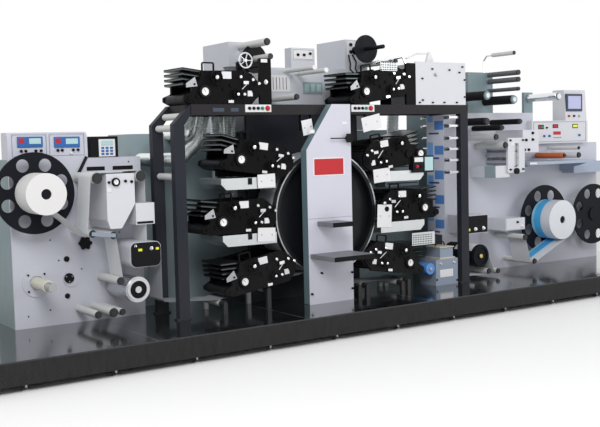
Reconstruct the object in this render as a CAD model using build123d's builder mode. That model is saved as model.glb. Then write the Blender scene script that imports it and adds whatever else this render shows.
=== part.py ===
from build123d import *
import math
import os

# Satellite label printing press on a levelled platform.
# X runs along the web from the unwinder to the rewinder, Y to the back, Z up.
# The origin is on the floor, at the middle of the platform.

os.makedirs("parts", exist_ok=True)

# Platform
platform_length = 7500
platform_depth = 1900
platform_height = 160
foot_height = 50
skirt_thickness = 8
deck_thickness = 10
joist_width = 60
joist_wall = 5
joist_count = 12
joist_end_inset = 340
foot_screw_radius = 10
foot_pad_radius = 28
foot_pad_thickness = 8
foot_cone_height = 12
foot_nut_radius = 18
foot_nut_height = 10
foot_inset = 60

# Depths that the whole line shares
web_width = 240
web_centre = -150
roller_reach = 20
press_front = -370
press_rear = 0
press_plate = 25
frame_depth = 60
cabinet_face = 110
cabinet_depth = 420
side_plate = 20
housing_front = 150
housing_back = 600
drive_front = 450
drive_back = 900

# Clearances
running_gap = 0.5
seat_gap = 0.3
nip_gap = 5
roll_gap = 1

# Rollers, shafts and reels
cap_inset = 5
cap_length = 12
boss_length = 14
neck_length = 26
shaft_radius = 25
reel_shaft = 38
core_radius = 38
hub_radius = 70
housing_radius = 80
bearing_depth = 60
reel_thickness = 12
reel_holes = 8
reel_hole_share = 0.16
reel_hole_circle = 0.73
reel_standoff = 14

# Unwinder at the left end
unwind_left = -3150
unwind_right = -2100
unwind_top = 1470
unwind_reel_at = (-3005, 1224)
unwind_reel_radius = 300
paper_radius = 150
spindle_at = (-2980, 548)
spindle_sleeve = 45
spindle_chuck = 34
spindle_flange = 108
jaw_radius = 6
blank_flange_at = (-2710, 553)
blank_flange_radius = 62
infeed_at = (-2339, 475)
infeed_radius = 97
infeed_rollers = ((-2630, 1323, 40), (-2283, 1327, 40), (-2680, 919, 28), (-2520, 896, 28),
                  (-2475, 552, 30), (-2660, 320, 28), (-2540, 322, 35), (-2470, 320, 25))
tension_width = 616
tension_height = 200
tension_depth = 150
tension_slope = 30
keypad_left = 638
keypad_width = 225
keypad_height = 160
gauge_face = -270
gauge_left = -2552
gauge_width = 224
gauge_top = 1351
gauge_shoulder = 1120
gauge_foot = 943
corona_left = -2390
corona_right = -2140
corona_bottom = 640
corona_top = 830
corona_corner = 45

# Gantry round the printing units
gantry_left = -2038
gantry_right = 990
post_width = 92
beam_top = 1858
beam_height = 82
chamfer_run = 150
foot_plate = 12
foot_plate_margin = 18
beam_case_length = 440
beam_case_thickness = 8
tie_radius = 26
left_tie_drops = (551, 178, 89)
film_radius = 16
film_reach = 99
film_bracket = 20
film_drops = (112, 190, 303, 403, 505, 616)

# Impression drum and the wall that carries it
drum_x = -600
drum_z = 950
drum_radius = 520
drum_rim = 40
drum_recess = 70
drum_hub = 130
drum_shaft = 45
drum_inset = 15
wall_thickness = 30
wall_half_width = 580
wall_arm = 90
wall_reach = 450

# Printing units
unit_bearings = {"upper": 45, "middle": 0, "lower": -45}
unit_tilts = {"upper": 8, "middle": 0, "lower": -8}
plate_roll = 75
form_roll = 30
form_angle = 27
vibrator_roll = 40
train_rolls = ((30, 35), (38, -25), (28, 30), (38, -20), (30, -35), (34, -30), (38, -12))
unit_nose = -60
unit_sole = 107
unit_head = 160
unit_length = 618
unit_corner = 14
bearing_cap = 44
boss_radius = 15
boss_thickness = 8
tie_rod = 12
fin_count = 4
fin_pitch = 38
fin_length = 180
fin_rise = 22
fin_thickness = 8
dial_radius = 34
hand_wheel = 52
small_wheel = 38
wheel_rim = 7
wheel_thickness = 10
wheel_standoff = 32
tie_places = ((20, 128), (300, 130), (450, -85))
fin_at = (430, 30)
dial_at = (440, -10)
hand_wheel_at = (350, 98)
small_wheel_at = (160, -30)
bail_lefts = {1: 60, -1: 345}
bail_width = 100
bail_height = 52
bail_thickness = 11
top_left_at = (-1325, 107)
top_right_at = (234, 184)
top_tilt = -8
upright_height = 367
upright_width = 110

# Dryers between the printing units
dryer_levels = (284, -163)
dryer_height = 90
dryer_length = 500
dryer_inner = 541
lip_radius = 4

# Column in front of the drum
column_left = -885
column_right = -431
column_thickness = 80
column_drop = 372
column_flat = 190
tread_thickness = 38
tread_wall = 5
upper_tread = (-793, -585, 222, 895)
lower_tread = (-868, -463, 336, 630)
lock_at = (-470, 1575)
lock_radius = 42
lock_lobe = 12
lock_lobes = 6
lock_stem = 12
lock_collar = 20
lock_thickness = 18
lock_standoff = 26
lever_length = 150
lever_radius = 5

# Exhaust ducts behind the press
duct_radius = 56
duct_bend = 90
duct_depth = 150
duct_drop = 15
plenum_left = -1760
plenum_right = -1190
plenum_height = 64
plenum_depth = 190
dryer_duct_places = (-1375, -1254)
cabinet_duct_routes = (((-1500, 64), (-1555, 278), (-1720, 424), (-1940, 424)), ((-1622, 64), (-1665, 230)))

# Cabinets behind the press
drive_left = -2030
drive_right = 1000
cabinet_top = 1650
door_relief = 4
door_gap = 12
door_margin = 40
louvre_count = 6
louvre_pitch = 26
louvre_height = 8
louvre_depth = 3

# Housings over the press
housing_left = -1050
housing_right = 250
housing_rise = 342
tower_width = 190
tower_setback = 110
tower_rise = 205
knob_box = (-614, -362)
knob_box_rise = 177
knob_box_depth = 100
motor_box = (-20, 230)
motor_box_rise = 270
upper_disc_x = -1105
upper_disc_rise = 392
upper_disc_radius = 118
upper_disc_depth = -40
upper_idler_rises = ((-1135, 508, 30), (-680, 312, 20), (-560, 292, 20), (-860, 67, 26), (200, 387, 24))
foil_x = 84
foil_rise = 514
foil_radius = 125
foil_shaft = 18
gearbox_left = 364
gearbox_right = 965
gearbox_height = 382
gearbox_cover = 14

# Rollers near the deck
deck_roller_radius = 24
pedestal = 30
deck_roller_groups = {"left": ((-1627, 289), (-1220, 362)),
                      "right": ((-292, 291), (-205, 290), (191, 276), (261, 287))}
corona_box = (574, 842, 449)
corona_lid = (643, 801, 552)
corona_depth = 220

# Rewinder at the right end
rewind_left = 1030
rewind_right = 3390
rewind_low_top = 1476
rewind_high_top = 1800
rewind_step = 2380
label_reel_at = (2400, 696)
label_reel_radius = 350
label_radius = 200
waste_reel_at = (3166, 700)
waste_reel_radius = 325
outfeed_at = (1212, 426)
outfeed_radius = 110
rewind_idlers = ((1822, 562, 28), (1323, 270, 28), (1444, 262, 25), (1955, 311, 28), (1764, 1702, 26),
                 (1515, 1645, 26), (1434, 1556, 30), (1312, 1706, 35), (1560, 1475, 32), (2400, 1352, 22),
                 (2620, 1352, 30), (2620, 1425, 18))
tower_block = (1457, 1800, 403)
tower_depth = 130
tower_plates = ((1250, 1400, 220), (2250, 2380, 210))
tower_plate_depth = 30
tower_idlers = ((1740, 2178, 24), (1740, 2111, 24), (1740, 2020, 18), (1320, 1952, 42), (1680, 1915, 42),
                (2315, 1950, 38))
cheek_front = -275
cheek_back = -250
cheek_box = (1610, 1843, 1204, 1544)
cheek_slot = (1690, 1762, 1258, 1490)
cheek_ties = ((1650, 1240, 12), (1803, 1240, 12), (1650, 1508, 12))
knob_case = (1844, 2070, 1397, 1619)
drive_case = (1467, 1657, 1161, 1275)
die_roll_radius = 36
die_roll_levels = (1300, 1374, 1448)
table_left = 1900
table_right = 2850
table_top = 1300
table_thickness = 30
bracket_inset = 40
bracket_drop = 90
bracket_width = 20
shelf_overlap = 20
shelf_height = 115
shelf_front = -50
console_front = 50
console_depth = 180
console_left = 2300
console_right = 3170
console_top = 1714
console_under = 1501
screen_case = (2820, 3157, 2040)
screen_lean = 24
outfeed_cases = ((1176, 1454, 629, 804), (1700, 1972, 622, 742))

half_length = platform_length / 2
half_depth = platform_depth / 2
deck_top = foot_height + platform_height
frame_bottom = deck_top - deck_thickness
web_front = web_centre - web_width / 2
web_rear = web_centre + web_width / 2
roller_front = web_front - roller_reach
plate_back = cabinet_face + side_plate
post_back = press_front + frame_depth
beam_bottom = beam_top - beam_height
column_front = press_front - column_thickness
housing_top = beam_top + housing_rise
gearbox_top = beam_top + gearbox_height
upper_disc_at = (upper_disc_x, beam_top + upper_disc_rise)
foil_at = (foil_x, beam_top + foil_rise)
inner_front = press_front + press_plate
inner_rear = press_rear - press_plate
standing = (Align.CENTER, Align.CENTER, Align.MIN)


def facing(y):
    # A drawing plane seen from the front, at depth y
    return Plane.XZ.offset(-y)


def bar(at, radius, front, back, mode=Mode.ADD):
    # A round bar along Y
    with BuildSketch(facing(back)) as section:
        with Locations(at):
            Circle(radius)
    extrude(section.sketch, amount=back - front, mode=mode)


def bars(places, front, back, mode=Mode.ADD):
    # Round bars along Y at (x, z, radius) places
    with BuildSketch(facing(back)) as section:
        for x, z, radius in places:
            with Locations((x, z)):
                Circle(radius)
    extrude(section.sketch, amount=back - front, mode=mode)


def ring(at, outer, inner, front, back):
    # A flat ring along Y
    with BuildSketch(facing(back)) as section:
        with Locations(at):
            Circle(outer)
            Circle(inner, mode=Mode.SUBTRACT)
    extrude(section.sketch, amount=back - front)


def block(left, right, front, back, bottom, top, mode=Mode.ADD):
    # A square-edged block between six faces
    with BuildSketch(facing(back)) as section:
        with Locations(((left + right) / 2, (bottom + top) / 2)):
            Rectangle(right - left, top - bottom)
    extrude(section.sketch, amount=back - front, mode=mode)


def slab(points, front, back, corner=0, mode=Mode.ADD):
    # A plate whose outline in the XZ plane has sharp or rounded corners
    with BuildSketch(facing(back)) as section:
        with BuildLine():
            if corner:
                FilletPolyline(*points, radius=corner, close=True)
            else:
                Polyline(*points, close=True)
        make_face()
    extrude(section.sketch, amount=back - front, mode=mode)


def profile(points, left, right, mode=Mode.ADD):
    # A bar along X with an outline of (y, z) points
    with BuildSketch(Plane.YZ.offset(left)) as section:
        with BuildLine():
            Polyline(*points, close=True)
        make_face()
    extrude(section.sketch, amount=right - left, mode=mode)


def idlers(places, plate=cabinet_face):
    # Web rollers on fixed shafts, each carried by a boss on its side plate
    boss_front = plate - boss_length
    neck_front = boss_front - neck_length
    bars([(x, z, radius - cap_inset) for x, z, radius in places], roller_front - cap_length, roller_front)
    bars(places, roller_front, neck_front)
    bars([(x, z, radius / 2) for x, z, radius in places], neck_front, boss_front)
    bars([(x, z, radius - cap_inset / 2) for x, z, radius in places], boss_front, plate)


def doors(left, right, back, bottom, top, count):
    # Raised doors on a cabinet's back, each with a row of louvres near its top
    pitch = (right - left - 2 * door_margin) / count
    for i in range(count):
        west = left + door_margin + i * pitch + door_gap / 2
        east = west + pitch - door_gap
        block(west, east, back, back + door_relief, bottom + door_margin, top - door_margin)
        with BuildSketch(facing(back + door_relief)) as louvres:
            with Locations(((west + east) / 2, top - 4 * door_margin)):
                with GridLocations(0, louvre_pitch, 1, louvre_count):
                    Rectangle(pitch - door_gap - 2 * door_margin, louvre_height)
        extrude(louvres.sketch, amount=louvre_depth, mode=Mode.SUBTRACT)


def keep(piece, name):
    piece.part.label = name
    export_step(piece.part, f"parts/{name}.step")


# Platform: a deck on tubular cross members, closed by skirts
with BuildPart() as deck_plate:
    block(-half_length, half_length, -half_depth, half_depth, frame_bottom, deck_top)
keep(deck_plate, "deck_plate")

with BuildPart() as front_skirt:
    block(-half_length, half_length, -half_depth, -half_depth + skirt_thickness, foot_height, frame_bottom)
keep(front_skirt, "front_skirt")

with BuildPart() as rear_skirt:
    block(-half_length, half_length, half_depth - skirt_thickness, half_depth, foot_height, frame_bottom)
keep(rear_skirt, "rear_skirt")

cross_front = -half_depth + skirt_thickness
cross_back = half_depth - skirt_thickness
joist_pitch = (platform_length - 2 * joist_end_inset) / (joist_count - 1)
joist_places = [-half_length + joist_end_inset + i * joist_pitch for i in range(joist_count)]
with BuildPart() as cross_members:
    for left in (-half_length, half_length - skirt_thickness):
        block(left, left + skirt_thickness, cross_front, cross_back, foot_height, frame_bottom)
    for middle in joist_places:
        west = middle - joist_width / 2
        east = middle + joist_width / 2
        block(west, east, cross_front, cross_back, foot_height, frame_bottom)
        block(west + joist_wall, east - joist_wall, cross_front, cross_back, foot_height + joist_wall,
              frame_bottom - joist_wall, Mode.SUBTRACT)
keep(cross_members, "cross_members")

for name, row in (("front_feet", cross_front + foot_inset), ("rear_feet", cross_back - foot_inset)):
    with BuildPart() as feet:
        with Locations(*[(x, row, 0) for x in joist_places]):
            Cylinder(foot_pad_radius, foot_pad_thickness, align=standing)
        with Locations(*[(x, row, foot_pad_thickness) for x in joist_places]):
            Cone(foot_pad_radius - 6, foot_screw_radius, foot_cone_height, align=standing)
            Cylinder(foot_screw_radius, foot_height - foot_pad_thickness, align=standing)
        with BuildSketch(Plane.XY.offset(foot_height - foot_nut_height)) as nuts:
            with Locations(*[(x, row) for x in joist_places]):
                RegularPolygon(foot_nut_radius, 6)
        extrude(nuts.sketch, amount=foot_nut_height)
    keep(feet, name)


def bearing_bores(bearings):
    # Running bores through a side plate
    for at, radius in bearings:
        bar(at, radius + running_gap, cabinet_face, plate_back, Mode.SUBTRACT)


def bearing_pockets(bearings):
    # Room for the bearings inside the housing behind the plate
    for at, radius in bearings:
        bar(at, housing_radius, plate_back, plate_back + bearing_depth, Mode.SUBTRACT)


def driven_shaft(at, radius):
    # The end of a driven shaft in its side plate
    bar(at, radius, cabinet_face - seat_gap, plate_back + bearing_depth / 2)


disc_back = web_rear + reel_standoff
disc_front = disc_back - reel_thickness
roll_front = disc_front - web_width


def reel(at, radius, loaded):
    # A flange disc with round windows on a driven hub, with a core chuck where it holds a roll
    bar(at, radius, disc_front, disc_back)
    for i in range(reel_holes):
        turn = math.radians(360 * (i + 0.5) / reel_holes)
        window = (at[0] + reel_hole_circle * radius * math.cos(turn),
                  at[1] + reel_hole_circle * radius * math.sin(turn))
        bar(window, reel_hole_share * radius, disc_front, disc_back, Mode.SUBTRACT)
    bar(at, hub_radius, disc_back, cabinet_face - seat_gap)
    driven_shaft(at, reel_shaft)
    if loaded:
        bar(at, core_radius - seat_gap, roll_front + cap_length, disc_front)
    else:
        bar(at, hub_radius, disc_front - boss_length, disc_front)


def wound_roll(at, radius):
    # Web wound on a core, seated against the reel's disc
    ring(at, radius, core_radius, roll_front, disc_front)


# Unwinder: a side plate with bearings, in front of a closed housing
unwind_bearings = ((unwind_reel_at, reel_shaft), (spindle_at, shaft_radius), (infeed_at, shaft_radius))
with BuildPart() as unwind_side_plate:
    block(unwind_left, unwind_right, cabinet_face, plate_back, deck_top, unwind_top)
    bearing_bores(unwind_bearings)
    ring(spindle_at, spindle_flange, spindle_sleeve + boss_thickness, cabinet_face - boss_thickness,
         cabinet_face)
    ring(blank_flange_at, blank_flange_radius, shaft_radius, cabinet_face - boss_thickness, cabinet_face)
keep(unwind_side_plate, "unwind_side_plate")

cabinet_back = plate_back + cabinet_depth
with BuildPart() as unwind_cabinet:
    block(unwind_left, unwind_right, plate_back, cabinet_back, deck_top, unwind_top)
    bearing_pockets(unwind_bearings)
    doors(unwind_left, unwind_right, cabinet_back, deck_top, unwind_top, 2)
keep(unwind_cabinet, "unwind_cabinet")

with BuildPart() as tension_controls:
    tension_back = cabinet_face + tension_depth
    tension_top = unwind_top + tension_height
    profile([(cabinet_face, unwind_top), (cabinet_face + 4, tension_top - tension_slope),
             (cabinet_face + tension_slope, tension_top), (tension_back, tension_top),
             (tension_back, unwind_top)], unwind_left, unwind_left + tension_width)
    block(unwind_left + keypad_left, unwind_left + keypad_left + keypad_width, cabinet_face, tension_back,
          unwind_top, unwind_top + keypad_height)
keep(tension_controls, "tension_controls")

with BuildPart() as unwind_reel:
    reel(unwind_reel_at, unwind_reel_radius, True)
keep(unwind_reel, "unwind_reel")

with BuildPart() as paper_roll:
    wound_roll(unwind_reel_at, paper_radius)
keep(paper_roll, "paper_roll")

with BuildPart() as waste_spindle:
    bar(spindle_at, spindle_sleeve, web_centre, cabinet_face - seat_gap)
    bar(spindle_at, spindle_chuck, web_front + roller_reach, web_centre)
    for i in range(6):
        turn = math.radians(60 * i)
        bar((spindle_at[0] + spindle_chuck * math.cos(turn), spindle_at[1] + spindle_chuck * math.sin(turn)),
            jaw_radius, web_front + roller_reach, web_centre, Mode.SUBTRACT)
    driven_shaft(spindle_at, shaft_radius)
keep(waste_spindle, "waste_spindle")


def pull_drum(at, radius):
    # A driven drum with a stepped front face
    bar(at, radius, roller_front, cabinet_face - seat_gap)
    ring(at, radius - 2 * cap_inset, radius - 6 * cap_inset, roller_front - cap_length, roller_front)
    bar(at, shaft_radius, roller_front - cap_length, roller_front)
    driven_shaft(at, shaft_radius)


with BuildPart() as infeed_drum:
    pull_drum(infeed_at, infeed_radius)
keep(infeed_drum, "infeed_drum")

with BuildPart() as unwind_rollers:
    idlers(infeed_rollers)
keep(unwind_rollers, "unwind_rollers")

with BuildPart() as infeed_boxes:
    gauge_right = gauge_left + gauge_width
    slab([(gauge_left, gauge_top), (gauge_right, gauge_top), (gauge_right, gauge_shoulder),
          (gauge_right - gauge_width / 2, gauge_foot), (gauge_left + 22, gauge_foot),
          (gauge_left, gauge_shoulder - gauge_width / 2)], gauge_face, cabinet_face, 8)
    with BuildSketch(facing(cabinet_face)) as case:
        with Locations(((corona_left + corona_right) / 2, (corona_bottom + corona_top) / 2)):
            RectangleRounded(corona_right - corona_left, corona_top - corona_bottom, corona_corner)
    extrude(case.sketch, amount=cabinet_face - roller_front)
keep(infeed_boxes, "infeed_boxes")

# Gantry: four posts on foot plates, two long beams and the ties across them
post_faces = (press_front, press_rear)
with BuildPart() as left_posts:
    for front in post_faces:
        slab([(gantry_left, deck_top), (gantry_left + post_width, deck_top),
              (gantry_left + post_width, beam_bottom - chamfer_run / 2),
              (gantry_left + chamfer_run, beam_bottom), (gantry_left + chamfer_run, beam_top),
              (gantry_left, beam_top - chamfer_run)], front, front + frame_depth)
        block(gantry_left - foot_plate_margin, gantry_left + post_width + foot_plate_margin, front,
              front + frame_depth, deck_top, deck_top + foot_plate)
keep(left_posts, "left_posts")

with BuildPart() as right_posts:
    for front in post_faces:
        block(gantry_right - post_width, gantry_right, front, front + frame_depth, deck_top, beam_bottom)
        block(gantry_right - post_width - foot_plate_margin, gantry_right + foot_plate_margin, front,
              front + frame_depth, deck_top, deck_top + foot_plate)
keep(right_posts, "right_posts")

beam_left = gantry_left + chamfer_run
with BuildPart() as gantry_beams:
    for front in post_faces:
        block(beam_left, gantry_right, front, front + frame_depth, beam_bottom, beam_top)
    for west in (beam_left, beam_left + beam_case_length, gantry_right - post_width):
        block(west, west + frame_depth, post_back, press_rear, beam_bottom, beam_top)
    block(beam_left, beam_left + beam_case_length, press_front - beam_case_thickness, press_front,
          beam_bottom, beam_top)
keep(gantry_beams, "gantry_beams")

with BuildPart() as left_ties:
    for drop in left_tie_drops:
        slope = max(0, chamfer_run - drop)
        tie_at = (gantry_left + slope + post_width / 2, beam_top - drop)
        bar(tie_at, tie_radius, post_back + boss_length, press_rear - boss_length)
        bar(tie_at, tie_radius / 2, post_back, press_rear)
keep(left_ties, "left_ties")

film_x = gantry_right - post_width - film_reach
film_back = press_rear + frame_depth / 2
with BuildPart() as film_rollers:
    for drop in film_drops:
        z = beam_top - drop
        bar((film_x, z), film_radius, post_back - film_bracket, film_back)
        for front in (post_back - film_bracket * 2, film_back):
            block(film_x - film_bracket, gantry_right - post_width, front, front + film_bracket,
                  z - film_bracket / 2, z + film_bracket / 2)
keep(film_rollers, "film_rollers")


def on_circle(reach, bearing):
    return (drum_x + reach * math.cos(math.radians(bearing)),
            drum_z + reach * math.sin(math.radians(bearing)))


# Wall behind the drum, with an arm behind each printing unit
roll_circle = drum_radius + nip_gap + plate_roll
with BuildPart() as bearing_wall:
    block(drum_x - wall_half_width, drum_x + wall_half_width, press_rear, press_rear + wall_thickness,
          deck_top, beam_bottom)
    for bearing in unit_bearings.values():
        x, z = on_circle(roll_circle, bearing)
        reach = x - drum_x + wall_reach
        block(drum_x - reach, drum_x + reach, press_rear, press_rear + wall_thickness,
              z - wall_arm, z + wall_arm)
    bar((drum_x, drum_z), drum_shaft + running_gap, press_rear, press_rear + wall_thickness, Mode.SUBTRACT)
keep(bearing_wall, "bearing_wall")

# Column in front of the drum, with two folded treads and the lock wheel
shaft_end = column_front + 30
with BuildPart() as centre_column:
    slab([(column_left, deck_top), (column_right, deck_top), (column_right, beam_top),
          (column_right - column_flat, beam_top), (column_left, beam_top - column_drop)],
         column_front, press_front, lip_radius)
    bar((drum_x, drum_z), drum_shaft + running_gap, shaft_end - seat_gap, press_front, Mode.SUBTRACT)
    bar(lock_at, lock_stem + running_gap, column_front, press_front, Mode.SUBTRACT)
keep(centre_column, "centre_column")

with BuildPart() as column_treads:
    for left, right, reach, top in (upper_tread, lower_tread):
        block(left, right, column_front - reach, column_front, top - tread_thickness, top)
        block(left + tread_wall, right - tread_wall, column_front - reach + tread_wall,
              column_front - tread_wall, top - tread_thickness, top - tread_wall, Mode.SUBTRACT)
keep(column_treads, "column_treads")

with BuildPart() as lock_wheel:
    wheel_back = column_front - lock_standoff
    with BuildSketch(facing(wheel_back)) as wheel:
        with Locations(lock_at):
            Circle(lock_radius - lock_lobe / 2)
            with PolarLocations(lock_radius - lock_lobe, lock_lobes):
                Circle(lock_lobe)
    extrude(wheel.sketch, amount=lock_thickness)
    bar(lock_at, lock_collar, wheel_back, column_front - seat_gap)
    bar(lock_at, lock_stem, column_front - seat_gap, press_front - boss_thickness)
    with BuildSketch(Plane.YZ.offset(lock_at[0] - lock_radius - lever_length)) as lever:
        with Locations((wheel_back - lock_thickness / 2, lock_at[1])):
            Circle(lever_radius)
    extrude(lever.sketch, amount=lever_length + lock_radius - lock_lobe)
keep(lock_wheel, "lock_wheel")

drum_front = inner_front + drum_inset
drum_back = inner_rear - drum_inset
with BuildPart() as impression_drum:
    bar((drum_x, drum_z), drum_radius, drum_front, drum_back)
    for front in (drum_front, drum_back - drum_recess):
        with BuildSketch(facing(front + drum_recess)) as pocket:
            with Locations((drum_x, drum_z)):
                Circle(drum_radius - drum_rim)
                Circle(drum_hub, mode=Mode.SUBTRACT)
        extrude(pocket.sketch, amount=drum_recess, mode=Mode.SUBTRACT)
    bar((drum_x, drum_z), drum_shaft, shaft_end, drum_front)
    bar((drum_x, drum_z), drum_shaft, drum_back, press_rear + wall_thickness)
keep(impression_drum, "impression_drum")


def placed(origin, tilt, hand):
    # A printing unit's own frame: u away from the drum, v up
    turn = math.radians(tilt)

    def at(u, v):
        return (origin[0] + hand * (u * math.cos(turn) - v * math.sin(turn)),
                origin[1] + u * math.sin(turn) + v * math.cos(turn))

    return at


def roll_train():
    # Places of the rolls from the plate roll to the ink fountain, each a hair from the last
    form_reach = plate_roll + form_roll + roll_gap
    u = form_reach * math.cos(math.radians(form_angle))
    v = form_reach * math.sin(math.radians(form_angle))
    rolls = [(0, 0, plate_roll), (u, v, form_roll), (u, -v, form_roll)]
    u += math.sqrt((form_roll + vibrator_roll + roll_gap) ** 2 - v ** 2)
    v = 0
    last = vibrator_roll
    rolls.append((u, v, last))
    for radius, heading in train_rolls:
        step = last + radius + roll_gap
        u += step * math.cos(math.radians(heading))
        v += step * math.sin(math.radians(heading))
        last = radius
        rolls.append((u, v, last))
    return rolls


train = roll_train()
cheek_outline = ((unit_nose, -30), (20, -unit_sole), (555, -unit_sole), (unit_length, 30 - unit_sole),
                 (unit_length, -42), (548, -14), (548, 58), (478, 72), (455, unit_head - 10),
                 (60, unit_head), (-10, 110), (unit_nose, 45))


def spoked_wheel(at, radius, front):
    # A hand wheel with a thin rim and three spokes
    with BuildSketch(facing(front + wheel_thickness)) as wheel:
        with Locations(at):
            Circle(radius)
            Circle(radius - wheel_rim, mode=Mode.SUBTRACT)
            Circle(radius / 4)
            for turn in (30, 90, 150):
                Rectangle(2 * radius - wheel_rim, wheel_rim, rotation=turn)
    extrude(wheel.sketch, amount=wheel_thickness)
    bar(at, radius / 6, front + wheel_thickness, press_front)


def unit_frame(at, hand):
    # Two cheeks, their ties, the fountain's fins, bearing caps, hand controls and the bail
    cheek = [at(u, v) for u, v in cheek_outline]
    slab(cheek, press_front, inner_front, unit_corner)
    slab(cheek, inner_rear, press_rear, unit_corner)
    bars([(*at(u, v), tie_rod) for u, v in tie_places], inner_front, inner_rear)
    near = fin_at[0]
    far = near + fin_length
    with BuildSketch(facing(inner_rear)) as fins:
        for i in range(fin_count):
            low = fin_at[1] + i * fin_pitch
            with BuildLine():
                Polyline(at(near, low), at(far, low + fin_rise), at(far, low + fin_rise + fin_thickness),
                         at(near, low + fin_thickness), close=True)
            make_face()
    extrude(fins.sketch, amount=inner_rear - inner_front)
    bosses = [(*at(u, v), boss_radius) for u, v, radius in train[1:]]
    bars([(*at(0, 0), bearing_cap)] + bosses, press_front - boss_thickness, press_front)
    bar(at(0, 0), bearing_cap / 2, press_front - 2 * boss_thickness, press_front - boss_thickness)
    bar(at(*dial_at), dial_radius, press_front - boss_length, press_front)
    spoked_wheel(at(*hand_wheel_at), hand_wheel, press_front - wheel_standoff - wheel_thickness)
    spoked_wheel(at(*small_wheel_at), small_wheel, press_front - wheel_standoff)
    bail_left = bail_lefts[hand]
    bail_right = bail_left + bail_width
    bail_top = unit_head + bail_height
    bail_foot = unit_head - boss_thickness
    with BuildSketch(facing(inner_front)) as bail:
        with BuildLine():
            FilletPolyline(at(bail_left, bail_foot), at(bail_left, bail_top), at(bail_right, bail_top),
                           at(bail_right, bail_foot), radius=bail_thickness)
        trace(line_width=bail_thickness)
    extrude(bail.sketch, amount=bail_thickness)


stations = {}
for level, bearing in unit_bearings.items():
    x, z = on_circle(roll_circle, bearing)
    stations[f"{level}_right"] = (placed((x, z), unit_tilts[level], 1), 1)
    stations[f"{level}_left"] = (placed((2 * drum_x - x, z), unit_tilts[level], -1), -1)
stations["top_left"] = (placed((top_left_at[0], beam_top + top_left_at[1]), 0, -1), -1)
stations["top_right"] = (placed((top_right_at[0], beam_top + top_right_at[1]), top_tilt, -1), -1)
uprights = {"top_left": top_left_at[0] - unit_nose, "top_right": gearbox_left - upright_width}

for name, (at, hand) in stations.items():
    with BuildPart() as unit:
        unit_frame(at, hand)
        if name in uprights:
            west = uprights[name]
            east = west + upright_width
            head = beam_top + upright_height
            for front in (press_front, inner_rear):
                slab([(west, beam_top), (east, beam_top), (east, head), (west, head)], front,
                     front + press_plate, unit_corner)
            bar(((west + east) / 2, head - upright_width / 2), tie_rod, inner_front, inner_rear)
    keep(unit, f"{name}_unit")

# The plate rolls and the inking rolls, seated between the cheeks of their units
for side in ("left", "right"):
    with BuildPart() as rolls:
        bars([(*at(u, v), radius) for name, (at, hand) in stations.items() if name.endswith(side)
              for u, v, radius in train], inner_front, inner_rear)
    keep(rolls, f"{side}_unit_rolls")

for side, hand in (("left", -1), ("right", 1)):
    with BuildPart() as dryers:
        for level in dryer_levels:
            near = drum_x + hand * dryer_inner
            far = near + hand * dryer_length
            z = drum_z + level
            half = dryer_height / 2
            slab([(near, z - half), (far - hand * half, z - half), (far, z), (far, z + half),
                  (near, z + half)], press_front, press_rear, lip_radius)
    keep(dryers, f"{side}_dryers")

# Rollers near the deck, each between two pedestals
pedestal_top = 0.75 * deck_roller_radius
for side, places in deck_roller_groups.items():
    with BuildPart() as deck_rollers:
        for x, z in places:
            bar((x, z), deck_roller_radius, inner_front + pedestal / 2, inner_rear - pedestal / 2)
            for front in (inner_front - pedestal / 2, inner_rear - pedestal / 2):
                block(x - pedestal_top, x + pedestal_top, front, front + pedestal, deck_top, z)
                bar((x, z), pedestal_top, front, front + pedestal)
    keep(deck_rollers, f"{side}_deck_rollers")

# Exhaust: a plenum behind the rear beam, and the round ducts that drop from it
beam_back = press_rear + frame_depth
plenum_bottom = beam_top - plenum_height


def duct(points):
    # A round duct along straight runs and even bends
    with BuildLine(mode=Mode.PRIVATE) as route:
        FilletPolyline(*points, radius=duct_bend)
    with BuildSketch(Plane(origin=route.line @ 0, z_dir=route.line % 0)) as mouth:
        Circle(duct_radius)
    sweep(mouth.sketch, path=route.line)


with BuildPart() as exhaust_ducts:
    block(plenum_left, plenum_right, beam_back, beam_back + plenum_depth, plenum_bottom, beam_top)
    for x, level in zip(dryer_duct_places, dryer_levels):
        z = drum_z + level - duct_drop
        duct([(x, duct_depth, plenum_bottom), (x, duct_depth, z), (x, press_rear, z)])
    for bends in cabinet_duct_routes:
        route = [(x, duct_depth, beam_top - drop) for x, drop in bends]
        route.append((route[-1][0], drive_front, route[-1][2]))
        duct(route)
keep(exhaust_ducts, "exhaust_ducts")

# Housings over the press
tower_left = housing_left - tower_width
with BuildPart() as upper_housing:
    block(housing_left, housing_right, housing_front, housing_back, cabinet_top, housing_top)
    doors(housing_left, housing_right, housing_back, cabinet_top, housing_top, 2)
keep(upper_housing, "upper_housing")

with BuildPart() as upper_boxes:
    block(tower_left, housing_left, housing_front + tower_setback, housing_back, cabinet_top, housing_top)
    block(tower_left, housing_left, housing_front, housing_back, housing_top, housing_top + tower_rise)
    block(*knob_box, housing_front, housing_front + knob_box_depth, housing_top,
          housing_top + knob_box_rise)
    block(*motor_box, housing_front, housing_back, housing_top, housing_top + motor_box_rise)
    bar(foil_at, foil_shaft + running_gap, housing_front, housing_front + bearing_depth, Mode.SUBTRACT)
keep(upper_boxes, "upper_boxes")

with BuildPart() as upper_rollers:
    bar(upper_disc_at, upper_disc_radius, upper_disc_depth, upper_disc_depth + reel_thickness)
    bar(upper_disc_at, shaft_radius, roller_front, housing_front)
    idlers([(x, beam_top + rise, radius) for x, rise, radius in upper_idler_rises], housing_front)
keep(upper_rollers, "upper_rollers")

with BuildPart() as foil_reel:
    bar(foil_at, foil_radius, disc_front, disc_back)
    bar(foil_at, foil_shaft, web_front, housing_front + bearing_depth - boss_thickness)
    bar(foil_at, foil_shaft * 2, disc_back, housing_front - seat_gap)
keep(foil_reel, "foil_reel")

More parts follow.
